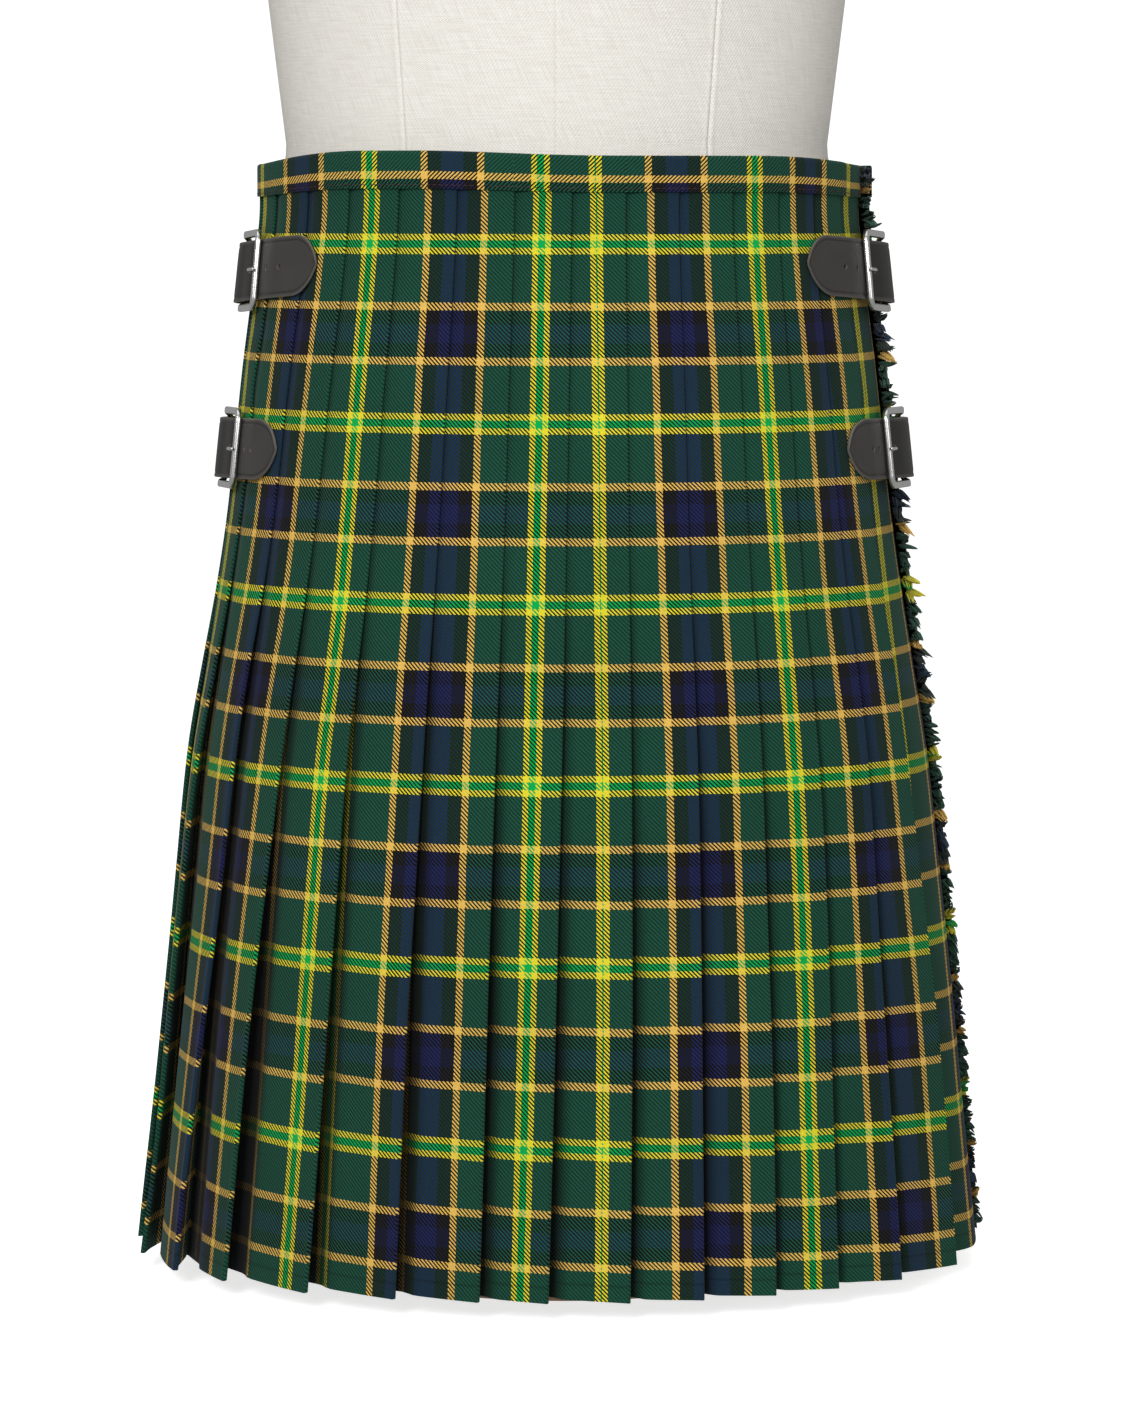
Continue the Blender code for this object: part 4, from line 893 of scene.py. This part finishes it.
# %% Leather
def leather_material():
    """Near-black leather: pores and a soft mottle; lighter on the cut edge, dark in the creased line."""
    material, tree, shader = new_material("bridle_leather")
    at = tree.nodes.new("ShaderNodeTexCoord").outputs["Object"]
    mottle = noise(tree, at, 55.0, 3.0)
    base = mix_colour(tree, mottle, colour(112, 108, 103), colour(146, 140, 133))
    edge = tree.nodes.new("ShaderNodeAttribute")
    edge.attribute_name = "edge"
    ramp = tree.nodes.new("ShaderNodeValToRGB")
    stops = ramp.color_ramp.elements
    for place_, grey in ((0.06, 0.55), (0.16, 0.30), (0.48, 0.17), (0.60, 0.09), (0.70, 0.09)):
        stops.new(place_).color = (grey, grey, grey, 1.0)
    stops[0].color, stops[-1].color = (0.60, 0.60, 0.60, 1.0), (0.19, 0.19, 0.19, 1.0)
    stops[-1].position = 0.82
    tree.links.new(edge.outputs["Fac"], ramp.inputs[0])
    tree.links.new(mix_colour(tree, 1.0, base, ramp.outputs[0], "MULTIPLY"), shader.inputs["Base Color"])
    pores = tree.nodes.new("ShaderNodeTexVoronoi")
    pores.inputs["Scale"].default_value = 1600.0
    tree.links.new(at, pores.inputs["Vector"])
    height = math_node(tree, "MULTIPLY_ADD", noise(tree, at, 700.0, 3.0), 0.7, pores.outputs["Distance"])
    set_bump(tree, shader, height, 0.25, 0.00012)
    rough = math_node(tree, "MULTIPLY_ADD", mottle, 0.16, 0.42)
    tree.links.new(rough, shader.inputs["Roughness"])
    shader.inputs["Specular IOR Level"].default_value = 0.35
    return material


LEATHER = leather_material()


def strip_section(width, thickness, groove):
    """Across and height offsets of a rounded slab: its outer face has a groove by both edges."""
    half, r = width[:, None] / 2, np.minimum(0.0008, width[:, None] / 5)
    turn = np.radians([-60, -25, 0, 25, 60])[None, :]
    line = np.maximum(half - 0.0026, 0.35 * half)
    inside = line * np.array([[0.86, 0.72, 0.58, 0.44, 0.30, 0.15, 0.0]])
    outer_across = np.concatenate([half - r, line + 0.0007, line, line - 0.0007, inside], axis=1)
    dips = np.array([[0.0, 0.15, 1.0, 0.15] + [0.0] * 7])
    across = np.concatenate([
        half - r + r * np.cos(turn), outer_across, -outer_across[:, -2::-1],
        -(half - r + r * np.cos(turn[:, ::-1])), -0.6 * half, 0.6 * half,
    ], axis=1)
    crown = 1 - 0.10 * (outer_across / half) ** 2
    face = thickness / 2 * crown - groove * dips
    height = np.concatenate([
        thickness / 2 * np.sin(turn) + 0 * half, face, face[:, -2::-1],
        thickness / 2 * np.sin(turn[:, ::-1]) + 0 * half,
        -thickness / 2 + 0 * half, -thickness / 2 + 0 * half,
    ], axis=1)
    return across, height


def carry(hip, route, width, thickness, groove, count):
    """A section carried along a route of (forward, out): offsets are square to the route."""
    route = np.array(route)
    chord = np.concatenate([[0.0], np.cumsum(np.hypot(*np.diff(route, axis=0).T))])
    rows = np.column_stack([chord, route])
    at = np.linspace(0.0, chord[-1], count)
    forward, out = read_curve(rows, 1, at), read_curve(rows, 2, at)
    slope_f, slope_o = np.gradient(forward, at), np.gradient(out, at)
    length = np.hypot(slope_f, slope_o)
    widths = width(forward)
    across, height = strip_section(widths, thickness, groove)
    f = forward[:, None] - (slope_o / length)[:, None] * height
    o = out[:, None] + (slope_f / length)[:, None] * height
    edge = np.clip((widths[:, None] / 2 - np.abs(across)) / 0.0040, 0.0, 1.0)
    # Painted shade: from under the buckle's back bar forward, the face takes the creased line's near black
    edge = mix(edge, np.minimum(edge, 0.66), smooth((forward + 0.0185) / 0.0040)[:, None])
    return hip.point(f, o, across), edge


# %% Strap routes
def strap_route(hip):
    """From the tail's tip, under the back bar, over the front bar, to the sewn end."""
    on_pleats = CAD_CREST + CAD_CLOTH / 2 + 0.0003 + STRAP_THICK / 2
    on_chape = on_pleats + CHAPE_THICK + 0.0003
    under_bar = BACK_BAR_OUT - 0.0016 - 0.0003 - STRAP_THICK / 2 - 0.0004
    over_bar = hip.front_bar + 0.0016 + CHAPE_THICK + 0.0006 + STRAP_THICK / 2 + 0.0005
    tail = [(hip.tip + step, on_pleats + 0.0007) for step in (0.0, 0.006, 0.012, TAIL_TAPER)]
    route = [row for row in tail if row[0] < -0.0450] + [
        (-0.0420, on_pleats + 0.0016), (-0.0360, on_chape + 0.0004), (-0.0330, on_chape + 0.0006),
        (-0.0215, under_bar), (-0.0125, under_bar), (-0.0060, under_bar + 0.0020), (0.0030, over_bar - 0.0028),
        (0.0110, over_bar - 0.0007), (0.0170, over_bar), (0.0215, over_bar - 0.0008),
    ]
    if hip.side > 0:
        on_apron = 0.0062 + CAD_CLOTH / 2 + 0.0003 + STRAP_THICK / 2
        return route + [
            (0.0290, over_bar - 0.0044), (0.0360, on_apron + 0.0005), (0.0450, on_apron + 0.0002),
            (0.0540, on_apron + 0.0002), (0.0630, on_apron + 0.0002),
        ]
    slit = hip.past_fold
    return route + [
        (0.0290, over_bar - 0.0028), (0.0370, 0.0086), (slit - 0.0100, 0.0068), (slit - 0.0010, 0.0066),
        (slit + 0.0040, 0.0058), (slit + 0.0095, 0.0032), (slit + 0.0150, 0.0021),
        (slit + 0.0250, 0.0021), (slit + 0.0360, 0.0022), (slit + 0.0470, 0.0022),
    ]


def tail_width(hip, forward):
    """Full width, then a round curve in to a blunt tip: (1 - past^2.1)^0.66."""
    past = np.clip((hip.tip + TAIL_TAPER - forward) / TAIL_TAPER, 0.0, 1.0)
    return STRAP_WIDTH * np.maximum((1.0 - past ** 2.1) ** 0.66, 0.10)


def cut_out(piece, tool):
    """Takes a closed shape out of a piece for good, and removes the tool."""
    cut = piece.modifiers.new("cut", "BOOLEAN")
    cut.operation, cut.solver, cut.object = "DIFFERENCE", "EXACT", tool
    bpy.context.view_layer.update()
    done = bpy.data.meshes.new_from_object(piece.evaluated_get(bpy.context.evaluated_depsgraph_get()))
    piece.modifiers.remove(cut)
    done.set_sharp_from_angle(angle=math.radians(38))
    piece.data = done
    bpy.data.objects.remove(tool)


def axes_at(hip, forward, out):
    """A point of a hip and its directions: forward, down and straight out."""
    here = hip.point(np.array(forward), np.array(out))
    ahead = hip.point(np.array(forward + 0.002), np.array(out)) - here
    ahead /= np.linalg.norm(ahead)
    down = hip.point(np.array(forward), np.array(out), 0.002) - here
    down -= ahead * (down @ ahead)
    down /= np.linalg.norm(down)
    outward = np.cross(ahead, down)
    return here, ahead, down, outward * np.sign(outward[:2] @ here[:2])


def hole_tool(hip, route, name):
    """Three short round bars through the strap: the pin's slot and two spare holes."""
    rows = np.array(route)
    angle = np.arange(16) * math.pi / 8
    parts = []
    for forward, half_length in ((-0.0070, 0.0031), *((at, 0.0017) for at in hip.spare_holes)):
        here, ahead, down, outward = axes_at(hip, forward, float(np.interp(forward, rows[:, 0], rows[:, 1])))
        rim = ahead * (half_length * np.cos(angle))[:, None] + down * (0.0017 * np.sin(angle))[:, None]
        parts.append(np.stack([here + rim - outward * 0.004, here + rim + outward * 0.004]))
    one = tube_quads(2, 16)
    if np.dot(np.cross(ahead, down), outward) < 0:
        one = one[:, ::-1]
    quads = np.concatenate([one + 32 * k for k in range(3)])
    mesh = make_mesh(name, np.stack(parts), quads)
    # Painted shade: the holes' walls take the creased line's near black
    mark(mesh, "edge", np.full(len(mesh.vertices), 0.65))
    tool = bpy.data.objects.new(name, mesh)
    bpy.context.scene.collection.objects.link(tool)
    return tool


for place_name, hip in HIPS.items():
    route = strap_route(hip)
    points, edge = carry(hip, route, lambda forward: tail_width(hip, forward), STRAP_THICK, 0.00022, 150)
    mesh = make_mesh(f"strap_{place_name}", points, tube_quads(*points.shape[:2]))
    mark(mesh, "edge", edge)
    node = f"strap_{place_name}"
    strap = add_piece(f"{node}_leather", mesh, LEATHER, [node], sharp=38)
    cut_out(strap, hole_tool(hip, route, f"holes_{place_name}"))

# %% [markdown]
# The left straps come from inside through two upright slits in the over apron. Each slit's edge
# is worked with close, short stitches, like a buttonhole.

# %% Worked slits
def slit_tool(hip, name):
    """A box across the cloth, two millimetres to ten past the fold, as high as the strap."""
    ends = np.array([(0.0020, -1), (0.0105, -1), (0.0105, 1), (0.0020, 1)])
    forward, down = hip.past_fold + ends[:, 0], 0.0176 * ends[:, 1]
    points = np.stack([hip.point(forward, np.array(out), down) for out in (-0.002, 0.012)])
    tool = bpy.data.objects.new(name, make_mesh(name, points, tube_quads(2, 4)))
    bpy.context.scene.collection.objects.link(tool)
    return tool


def apron_face(hip, forward, down):
    """Points on the over apron's face at a hip, and the forward direction there."""
    level = hip.level + forward * hip.rise + down
    out = apron_out(level, -(hip.centre + forward) / hip.girth * girth(level)) + CLOTH / 2 + 0.0001
    here = hip.point(forward, out, down)
    ahead = hip.point(forward + 0.001, out, down) - here
    return here, ahead / np.linalg.norm(ahead, axis=1)[:, None]


for place_name in ("left_upper", "left_lower"):
    hip = HIPS[place_name]
    cut_out(sheets["over_apron"][0], slit_tool(hip, f"slit_{place_name}"))
    down = np.arange(-0.0180, 0.0181, 0.0009)
    edge_at = apron_face(hip, hip.past_fold + 0.0116 + 0 * down, down)
    spindles(f"slit_{place_name}_edge", *edge_at, 0.0016, 0.00045, DARK_THREAD, "tartan")
    ends = np.array([-0.0187, -0.0180, 0.0180, 0.0187])
    bar_at = apron_face(hip, hip.past_fold + 0.0064 + 0 * ends, ends)
    spindles(f"slit_{place_name}_bars", *bar_at, 0.0052, 0.00045, DARK_THREAD, "tartan")

# %% [markdown]
# A shorter strip, the chape, folds round the buckle's front bar and is sewn to the pleats.

# %% Chapes
def chape_route(hip):
    """Flat on the pleats, up to the bar, and half a turn round it."""
    low = CAD_CREST + CAD_CLOTH / 2 + 0.0003 + CHAPE_THICK / 2 + 0.0001
    round_bar = 0.0016 + 0.0003 + CHAPE_THICK / 2 + 0.0001
    route = [(mix(-0.0370, -0.0040, k / 4), low) for k in range(5)]
    under_bar = hip.front_bar - round_bar - 0.0001
    route += [(0.0040, mix(low, under_bar, 0.5)), (0.0110, under_bar)]
    for degrees in (-90, -60, -30, 0, 30, 60, 90):
        angle = math.radians(degrees)
        route.append((HALF_BUCKLE + round_bar * math.cos(angle), hip.front_bar + round_bar * math.sin(angle)))
    return route + [(0.0140, hip.front_bar + round_bar - 0.0002)]


for place_name, hip in HIPS.items():
    route = chape_route(hip)
    points, edge = carry(hip, route, lambda forward: CHAPE_WIDTH + 0 * forward, CHAPE_THICK, 0.00012, 90)
    mesh = make_mesh(f"chape_{place_name}", points, tube_quads(*points.shape[:2]))
    mark(mesh, "edge", edge)
    add_piece(f"chape_{place_name}_leather", mesh, LEATHER, [f"chape_{place_name}"], sharp=38)

# %% [markdown]
# ## Buckles
# The buckles are chromed frames with rounded corners. The bar's section is a slab with bevelled
# edges, which gives the bright line along its rim that plain round wire lacks. The pin goes up
# through the strap's hole and rests on the back bar.

# %% Buckles and pins
def metal_material(name, tint, rough):
    material, tree, shader = new_material(name)
    at = tree.nodes.new("ShaderNodeTexCoord").outputs["Object"]
    smudge = noise(tree, at, 180.0, 3.0)
    duller = tuple(0.86 * v for v in tint[:3]) + (1.0,)
    tree.links.new(mix_colour(tree, smudge, tint, duller), shader.inputs["Base Color"])
    tree.links.new(math_node(tree, "MULTIPLY_ADD", smudge, 0.12, rough), shader.inputs["Roughness"])
    shader.inputs["Metallic"].default_value = 1.0
    return material


CHROME = metal_material("bright_chrome", (0.66, 0.66, 0.65, 1.0), 0.20)
BOW = {1: 0.0032, -1: 0.0026}


def buckle_mesh(hip, name):
    """A bevelled slab section carried round a rectangle with rounded corners; the arms bow outwards."""
    half_height, r = 0.0205, 0.0050
    back = hip.point(np.array(-HALF_BUCKLE), np.array(BACK_BAR_OUT))
    front = hip.point(np.array(HALF_BUCKLE), np.array(hip.front_bar))
    centre, ahead = (back + front) / 2, front - back
    ahead /= np.linalg.norm(ahead)
    down = axes_at(hip, 0.0, BACK_BAR_OUT)[2]
    down = down - ahead * (down @ ahead)
    down /= np.linalg.norm(down)
    normal = np.cross(ahead, down)
    normal *= np.sign(normal[:2] @ centre[:2])
    corners = [(1, 1, 0), (-1, 1, 90), (-1, -1, 180), (1, -1, 270)]
    turn = np.radians(np.linspace(0, 90, 9))
    xs = [cx * (HALF_BUCKLE - r) + r * np.cos(turn + math.radians(a)) for cx, cy, a in corners]
    ys = [cy * (half_height - r) + r * np.sin(turn + math.radians(a)) for cx, cy, a in corners]
    x, y = np.concatenate(xs), np.concatenate(ys)
    heading = np.concatenate([turn + math.radians(a) for cx, cy, a in corners])
    angle = np.radians(np.arange(0, 360, 22.5))
    c, s_ = np.cos(angle), np.sin(angle)
    flat = 2 / 3.4
    wide = 0.0021 * np.sign(c) * np.abs(c) ** flat
    tall = 0.0017 * np.sign(s_) * np.abs(s_) ** flat
    bow = BOW[hip.side] * smooth((np.abs(y) - 0.0172) / 0.0036) * smooth((x + 0.0120) / 0.0200)
    px = x[:, None] + np.cos(heading)[:, None] * wide[None, :]
    py = y[:, None] + np.sin(heading)[:, None] * wide[None, :]
    raised = (tall[None, :] + bow[:, None])[..., None] * normal
    points = centre + px[..., None] * ahead + py[..., None] * down + raised
    return make_mesh(name, points, grid_quads(*px.shape, rows_closed=True, columns_closed=True))


def pin_mesh(hip, name):
    """A tapering round wire from the front bar, through the hole, to a rounded tip on the back bar."""
    rows = np.array(strap_route(hip))
    hole = float(np.interp(-0.0070, rows[:, 0], rows[:, 1]))
    route = np.array([
        (0.0118, hip.front_bar - 0.0006), (0.0030, mix(hip.front_bar - 0.0006, hole - 0.0019, 0.55)),
        (-0.0042, hole - 0.0019), (-0.0070, hole), (-0.0096, hole + 0.0022),
        (-0.0125, 0.0127), (-0.0192, 0.0129),
    ])
    chord = np.concatenate([[0.0], np.cumsum(np.hypot(*np.diff(route, axis=0).T))])
    table = np.column_stack([chord, route])
    at = np.concatenate([np.linspace(0.0, chord[-1], 40), chord[-1] + np.array([0.0003, 0.0006, 0.0008])])
    inner_at = np.minimum(at, chord[-1])
    forward, out = read_curve(table, 1, inner_at) - (at - inner_at), read_curve(table, 2, inner_at)
    slope_f, slope_o = np.gradient(forward, at), np.gradient(out, at)
    length = np.hypot(slope_f, slope_o)
    size = np.concatenate([np.full(38, 0.0010), [0.0010, 0.0010, 0.0009, 0.0006, 0.0002]])
    angle = np.radians(np.arange(0, 360, 36))
    f = forward[:, None] - (slope_o / length)[:, None] * size[:, None] * np.sin(angle)
    o = out[:, None] + (slope_f / length)[:, None] * size[:, None] * np.sin(angle)
    points = hip.point(f, o, size[:, None] * np.cos(angle))
    return make_mesh(name, points, tube_quads(*f.shape))


for place_name, hip in HIPS.items():
    buckle = buckle_mesh(hip, f"buckle_{place_name}")
    node = f"buckle_{place_name}"
    add_piece(f"{node}_frame", buckle, CHROME, [node], sharp=60)
    pin = pin_mesh(hip, f"prong_{place_name}")
    add_piece(f"prong_{place_name}_pin", pin, CHROME, [f"prong_{place_name}"], sharp=60)

# %% [markdown]
# ## Dress form
# The kilt is shown on a limbless form covered in plain linen. The covering is cut in panels, so
# seams run down the centre, the sides and between them. Each seam is a fine groove with a small
# ridge on both sides, worked into the surface itself.

# %% Form
FORM_COLUMNS = ("height", "half_width", "half_depth", "forward")
INSET = np.array([
    (0.000, 0.0144, 0.0098), (0.050, 0.0066, 0.0062), (0.090, 0.0016, 0.0016), (0.150, 0.0016, 0.0016),
    (0.210, 0.0075, 0.0075), (0.260, 0.0260, 0.0240), (0.310, 0.0500, 0.0440), (0.335, 0.0740, 0.0640),
])
ABOVE = np.array([
    (0.000, 0.1503, 0.1130, 0.000), (0.085, 0.1607, 0.1175, 0.001), (0.190, 0.1730, 0.1240, 0.003),
    (0.280, 0.1840, 0.1260, 0.002), (0.350, 0.1900, 0.1130, -0.003), (0.395, 0.1720, 0.0920, -0.008),
    (0.425, 0.1280, 0.0740, -0.011), (0.445, 0.0820, 0.0640, -0.010), (0.465, 0.0640, 0.0600, -0.007),
    (0.520, 0.0580, 0.0570, 0.000),
])


def form_section(above):
    """Half width, half depth and forward offset of the form at a height over the waist."""
    width, depth = oval(-above)
    low = width - read_curve(INSET, 1, -above), depth - read_curve(INSET, 2, -above), 0 * above
    return [np.where(above < 0, a, read_curve(ABOVE, k, above)) for k, a in zip((1, 2, 3), low)]


LINEN_PITCH = 0.0017
SEAM_TURNS = np.radians([0, 57, 90, 123, 180, 237, 270, 303])


def linen_material():
    """Plain weave: two crossed waves along the cloth, with slubs from a stretched noise."""
    material, tree, shader = new_material("plain_linen")
    uv = tree.nodes.new("ShaderNodeUVMap")
    uv.uv_map = "cloth"
    parts = tree.nodes.new("ShaderNodeSeparateXYZ")
    tree.links.new(uv.outputs[0], parts.inputs[0])
    turns_a_metre = 2 * math.pi / LINEN_PITCH
    waves = [math_node(tree, "SINE", math_node(tree, "MULTIPLY", o, turns_a_metre)) for o in parts.outputs[:2]]
    weave = math_node(tree, "MULTIPLY", waves[0], waves[1])
    slubs = []
    for stretch in ((60.0, 1000.0, 1.0), (1000.0, 60.0, 1.0)):
        mapping = tree.nodes.new("ShaderNodeMapping")
        mapping.inputs["Scale"].default_value = stretch
        tree.links.new(uv.outputs[0], mapping.inputs[0])
        slubs.append(noise(tree, mapping.outputs[0], 1.0))
    slub = math_node(tree, "MULTIPLY", math_node(tree, "ADD", *slubs), 0.5)
    weft_and_warp = math_node(tree, "MULTIPLY_ADD", weave, 0.16, slub)
    thread = mix_colour(tree, weft_and_warp, (0.62, 0.575, 0.505, 1.0), (1.0, 0.985, 0.94, 1.0))
    tree.links.new(thread, shader.inputs["Base Color"])
    shader.inputs["Roughness"].default_value = 0.95
    shader.inputs["Specular IOR Level"].default_value = 0.1
    height = math_node(tree, "MULTIPLY_ADD", weave, 0.35, slub)
    set_bump(tree, shader, height, 0.5, 0.0005)
    return material


above = np.concatenate([np.linspace(-0.335, 0.39, 110), np.linspace(0.39, 0.52, 41)[1:]])[:, None]
near = np.linspace(-0.030, 0.030, 13)
evenly_round = np.arange(0, 360, 2.5) * math.pi / 180
angle = np.sort(np.concatenate([evenly_round] + [seam + near for seam in SEAM_TURNS]))
angle = angle[np.concatenate([[True], np.diff(angle) > 0.0006])][None, :] % (2 * math.pi)
angle = np.sort(angle, axis=1)
width, depth, forward = form_section(above)
gap = np.min(np.abs((angle[..., None] - SEAM_TURNS + math.pi) % (2 * math.pi) - math.pi), axis=-1)
gap = gap * np.sqrt(width * depth)
seam = 0.00035 * np.exp(-((gap - 0.0018) / 0.0011) ** 2) - 0.0006 * np.exp(-(gap / 0.0007) ** 2)
x, y = width * np.cos(angle), depth * np.sin(angle)
nx, ny = depth * np.cos(angle), width * np.sin(angle)
length = np.hypot(nx, ny)
aside = -0.0030 * (1 - smooth(-above / 0.05)) * (1 - smooth((above - 0.30) / 0.16))
form_x, form_y = x + nx / length * seam + aside, y + ny / length * seam + forward
form_points = np.stack([form_x, form_y, WAIST + above + 0 * x], axis=-1)
around = angle * np.sqrt(width * depth)
form_uv = np.stack([around, above + 0 * around], axis=-1)
form_mesh = make_mesh("torso", form_points, tube_quads(*x.shape), form_uv)
torso = add_piece("form_torso_linen", form_mesh, linen_material(), ["form_torso"])


# %% Stand
def turned_piece(name, profile, material, replaces):
    """A profile of (radius, height) turned round the upright axis."""
    profile = np.array(profile)
    angle = np.linspace(0, 2 * math.pi, 97)[:-1]
    radius, height = profile[:, :1], profile[:, 1:]
    points = np.stack([radius * np.cos(angle), radius * np.sin(angle), height + 0 * angle], axis=-1)
    mesh = make_mesh(name, points, tube_quads(len(profile), 96))
    return add_piece(name, mesh, material, replaces, sharp=35)


def rounded(points, r, steps=5):
    """Rounds each inner corner of a profile with a small quadratic curve."""
    points = np.array(points, float)
    out = [points[0]]
    for before, here, after in zip(points, points[1:], points[2:]):
        into, away = here - before, after - here
        a = here - into / np.linalg.norm(into) * min(r, 0.45 * np.linalg.norm(into))
        b = here + away / np.linalg.norm(away) * min(r, 0.45 * np.linalg.norm(away))
        for t in np.linspace(0.0, 1.0, steps):
            out.append((1 - t) ** 2 * a + 2 * t * (1 - t) * here + t * t * b)
    return np.array(out + [points[-1]])


def wood_material():
    """Varnished wood: rings round an axis, stretched and bent by noise."""
    material, tree, shader = new_material("varnished_wood")
    at = tree.nodes.new("ShaderNodeTexCoord").outputs["Object"]
    mapping = tree.nodes.new("ShaderNodeMapping")
    mapping.inputs["Scale"].default_value = (9.0, 1.2, 9.0)
    tree.links.new(at, mapping.inputs[0])
    rings = tree.nodes.new("ShaderNodeTexWave")
    rings.wave_type = "RINGS"
    rings.inputs["Scale"].default_value = 3.0
    rings.inputs["Distortion"].default_value = 5.0
    rings.inputs["Detail"].default_value = 3.0
    tree.links.new(mapping.outputs[0], rings.inputs["Vector"])
    grain = mix_colour(tree, rings.outputs["Fac"], (0.12, 0.055, 0.025, 1.0), (0.30, 0.160, 0.075, 1.0))
    tree.links.new(grain, shader.inputs["Base Color"])
    shader.inputs["Roughness"].default_value = 0.35
    shader.inputs["Coat Weight"].default_value = 0.5
    shader.inputs["Coat Roughness"].default_value = 0.15
    set_bump(tree, shader, rings.outputs["Fac"], 0.08, 0.0005)
    return material


WOOD = wood_material()
STEEL = metal_material("satin_steel", (0.52, 0.52, 0.53, 1.0), 0.30)
foot = rounded([
    (0.0004, 0.0140), (0.0300, 0.0140), (0.0330, 0.0125), (0.1260, 0.0115), (0.1300, 0.0060),
    (0.1290, 0.0), (0.0004, 0.0),
], 0.004)
turned_piece("form_foot_wood", foot, WOOD, ["form_foot"])
pole = rounded([
    (0.0004, 0.2907), (0.0140, 0.2907), (0.0140, 0.0340), (0.0140, 0.0143), (0.0004, 0.0143),
], 0.001)
turned_piece("form_pole_steel", pole, STEEL, ["form_pole"])
cap_low = WAIST + 0.52 + 0.0003
cap = rounded([
    (0.0004, cap_low + 0.030), (0.0300, cap_low + 0.0285), (0.0500, cap_low + 0.0195),
    (0.0560, cap_low + 0.0080), (0.0560, cap_low), (0.0004, cap_low),
], 0.008)
turned_piece("form_neck_cap_wood", cap, WOOD, ["form_neck_cap"])

# %% [markdown]
# ## Floor and light
# The backdrop is one pale sheet that curves up behind the kilt, so no edge shows. Wide soft lights
# keep the shadows gentle, and the stronger one stands at the left, so each fold shades the face to
# its right.

# %% Backdrop and lights
def backdrop():
    """A floor that bends up along a quarter circle into a wall."""
    t = np.linspace(0.0, 1.0, 40)
    angle = t * math.pi / 2
    y = np.concatenate([[-9.0, 8.0], 8.0 + 1.6 * np.sin(angle), [9.6]])
    z = np.concatenate([[0.0, 0.0], 1.6 * (1 - np.cos(angle)), [9.0]])
    x = np.linspace(-12.0, 12.0, 5)
    points = np.stack(np.broadcast_arrays(x[None, :], y[:, None], z[:, None]), axis=-1)
    mesh = bpy.data.meshes.new("backdrop")
    quads = grid_quads(len(y), len(x))
    mesh.from_pydata(points.reshape(-1, 3).tolist(), [], quads.tolist())
    mesh.shade_smooth()
    material, tree, shader = new_material("pale_paper")
    shader.inputs["Base Color"].default_value = (0.93, 0.93, 0.93, 1.0)
    shader.inputs["Roughness"].default_value = 0.9
    shader.inputs["Emission Color"].default_value = (1.0, 1.0, 1.0, 1.0)
    shader.inputs["Emission Strength"].default_value = 0.74
    mesh.materials.append(material)
    sheet = bpy.data.objects.new("backdrop", mesh)
    bpy.context.scene.collection.objects.link(sheet)
    sheet.visible_diffuse = sheet.visible_glossy = False


def soft_light(name, position, aim, size, watts):
    data = bpy.data.lights.new(name, "AREA")
    data.shape, data.size, data.size_y, data.energy = "RECTANGLE", size[0], size[1], watts
    light = bpy.data.objects.new(name, data)
    light.location = position
    towards = np.array(aim, float) - np.array(position, float)
    light.rotation_mode = "QUATERNION"
    light.rotation_quaternion = Vector(towards).to_track_quat("-Z", "Y")
    bpy.context.scene.collection.objects.link(light)


backdrop()
soft_light("key", (-1.1, -3.3, 1.9), (0.0, 0.0, 0.4), (1.0, 1.2), 74)
soft_light("fill", (1.6, -3.4, 1.2), (0.0, 0.0, 0.4), (1.6, 1.6), 27)
soft_light("top", (0.0, -0.4, 3.4), (0.0, 0.0, 0.3), (2.6, 2.6), 24)
bpy.context.scene.view_settings.view_transform = "Standard"
bpy.context.scene.cycles.denoising_prefilter = "NONE"
world = bpy.data.worlds.new("studio")
world.use_nodes = True
world.node_tree.nodes["Background"].inputs[0].default_value = (1.0, 1.0, 1.0, 1.0)
world.node_tree.nodes["Background"].inputs[1].default_value = 0.38
bpy.context.scene.world = world

for name, (piece, widest, mean, height) in sheets.items():
    print(name, "flat", round(widest, 3), "x", round(height, 3))
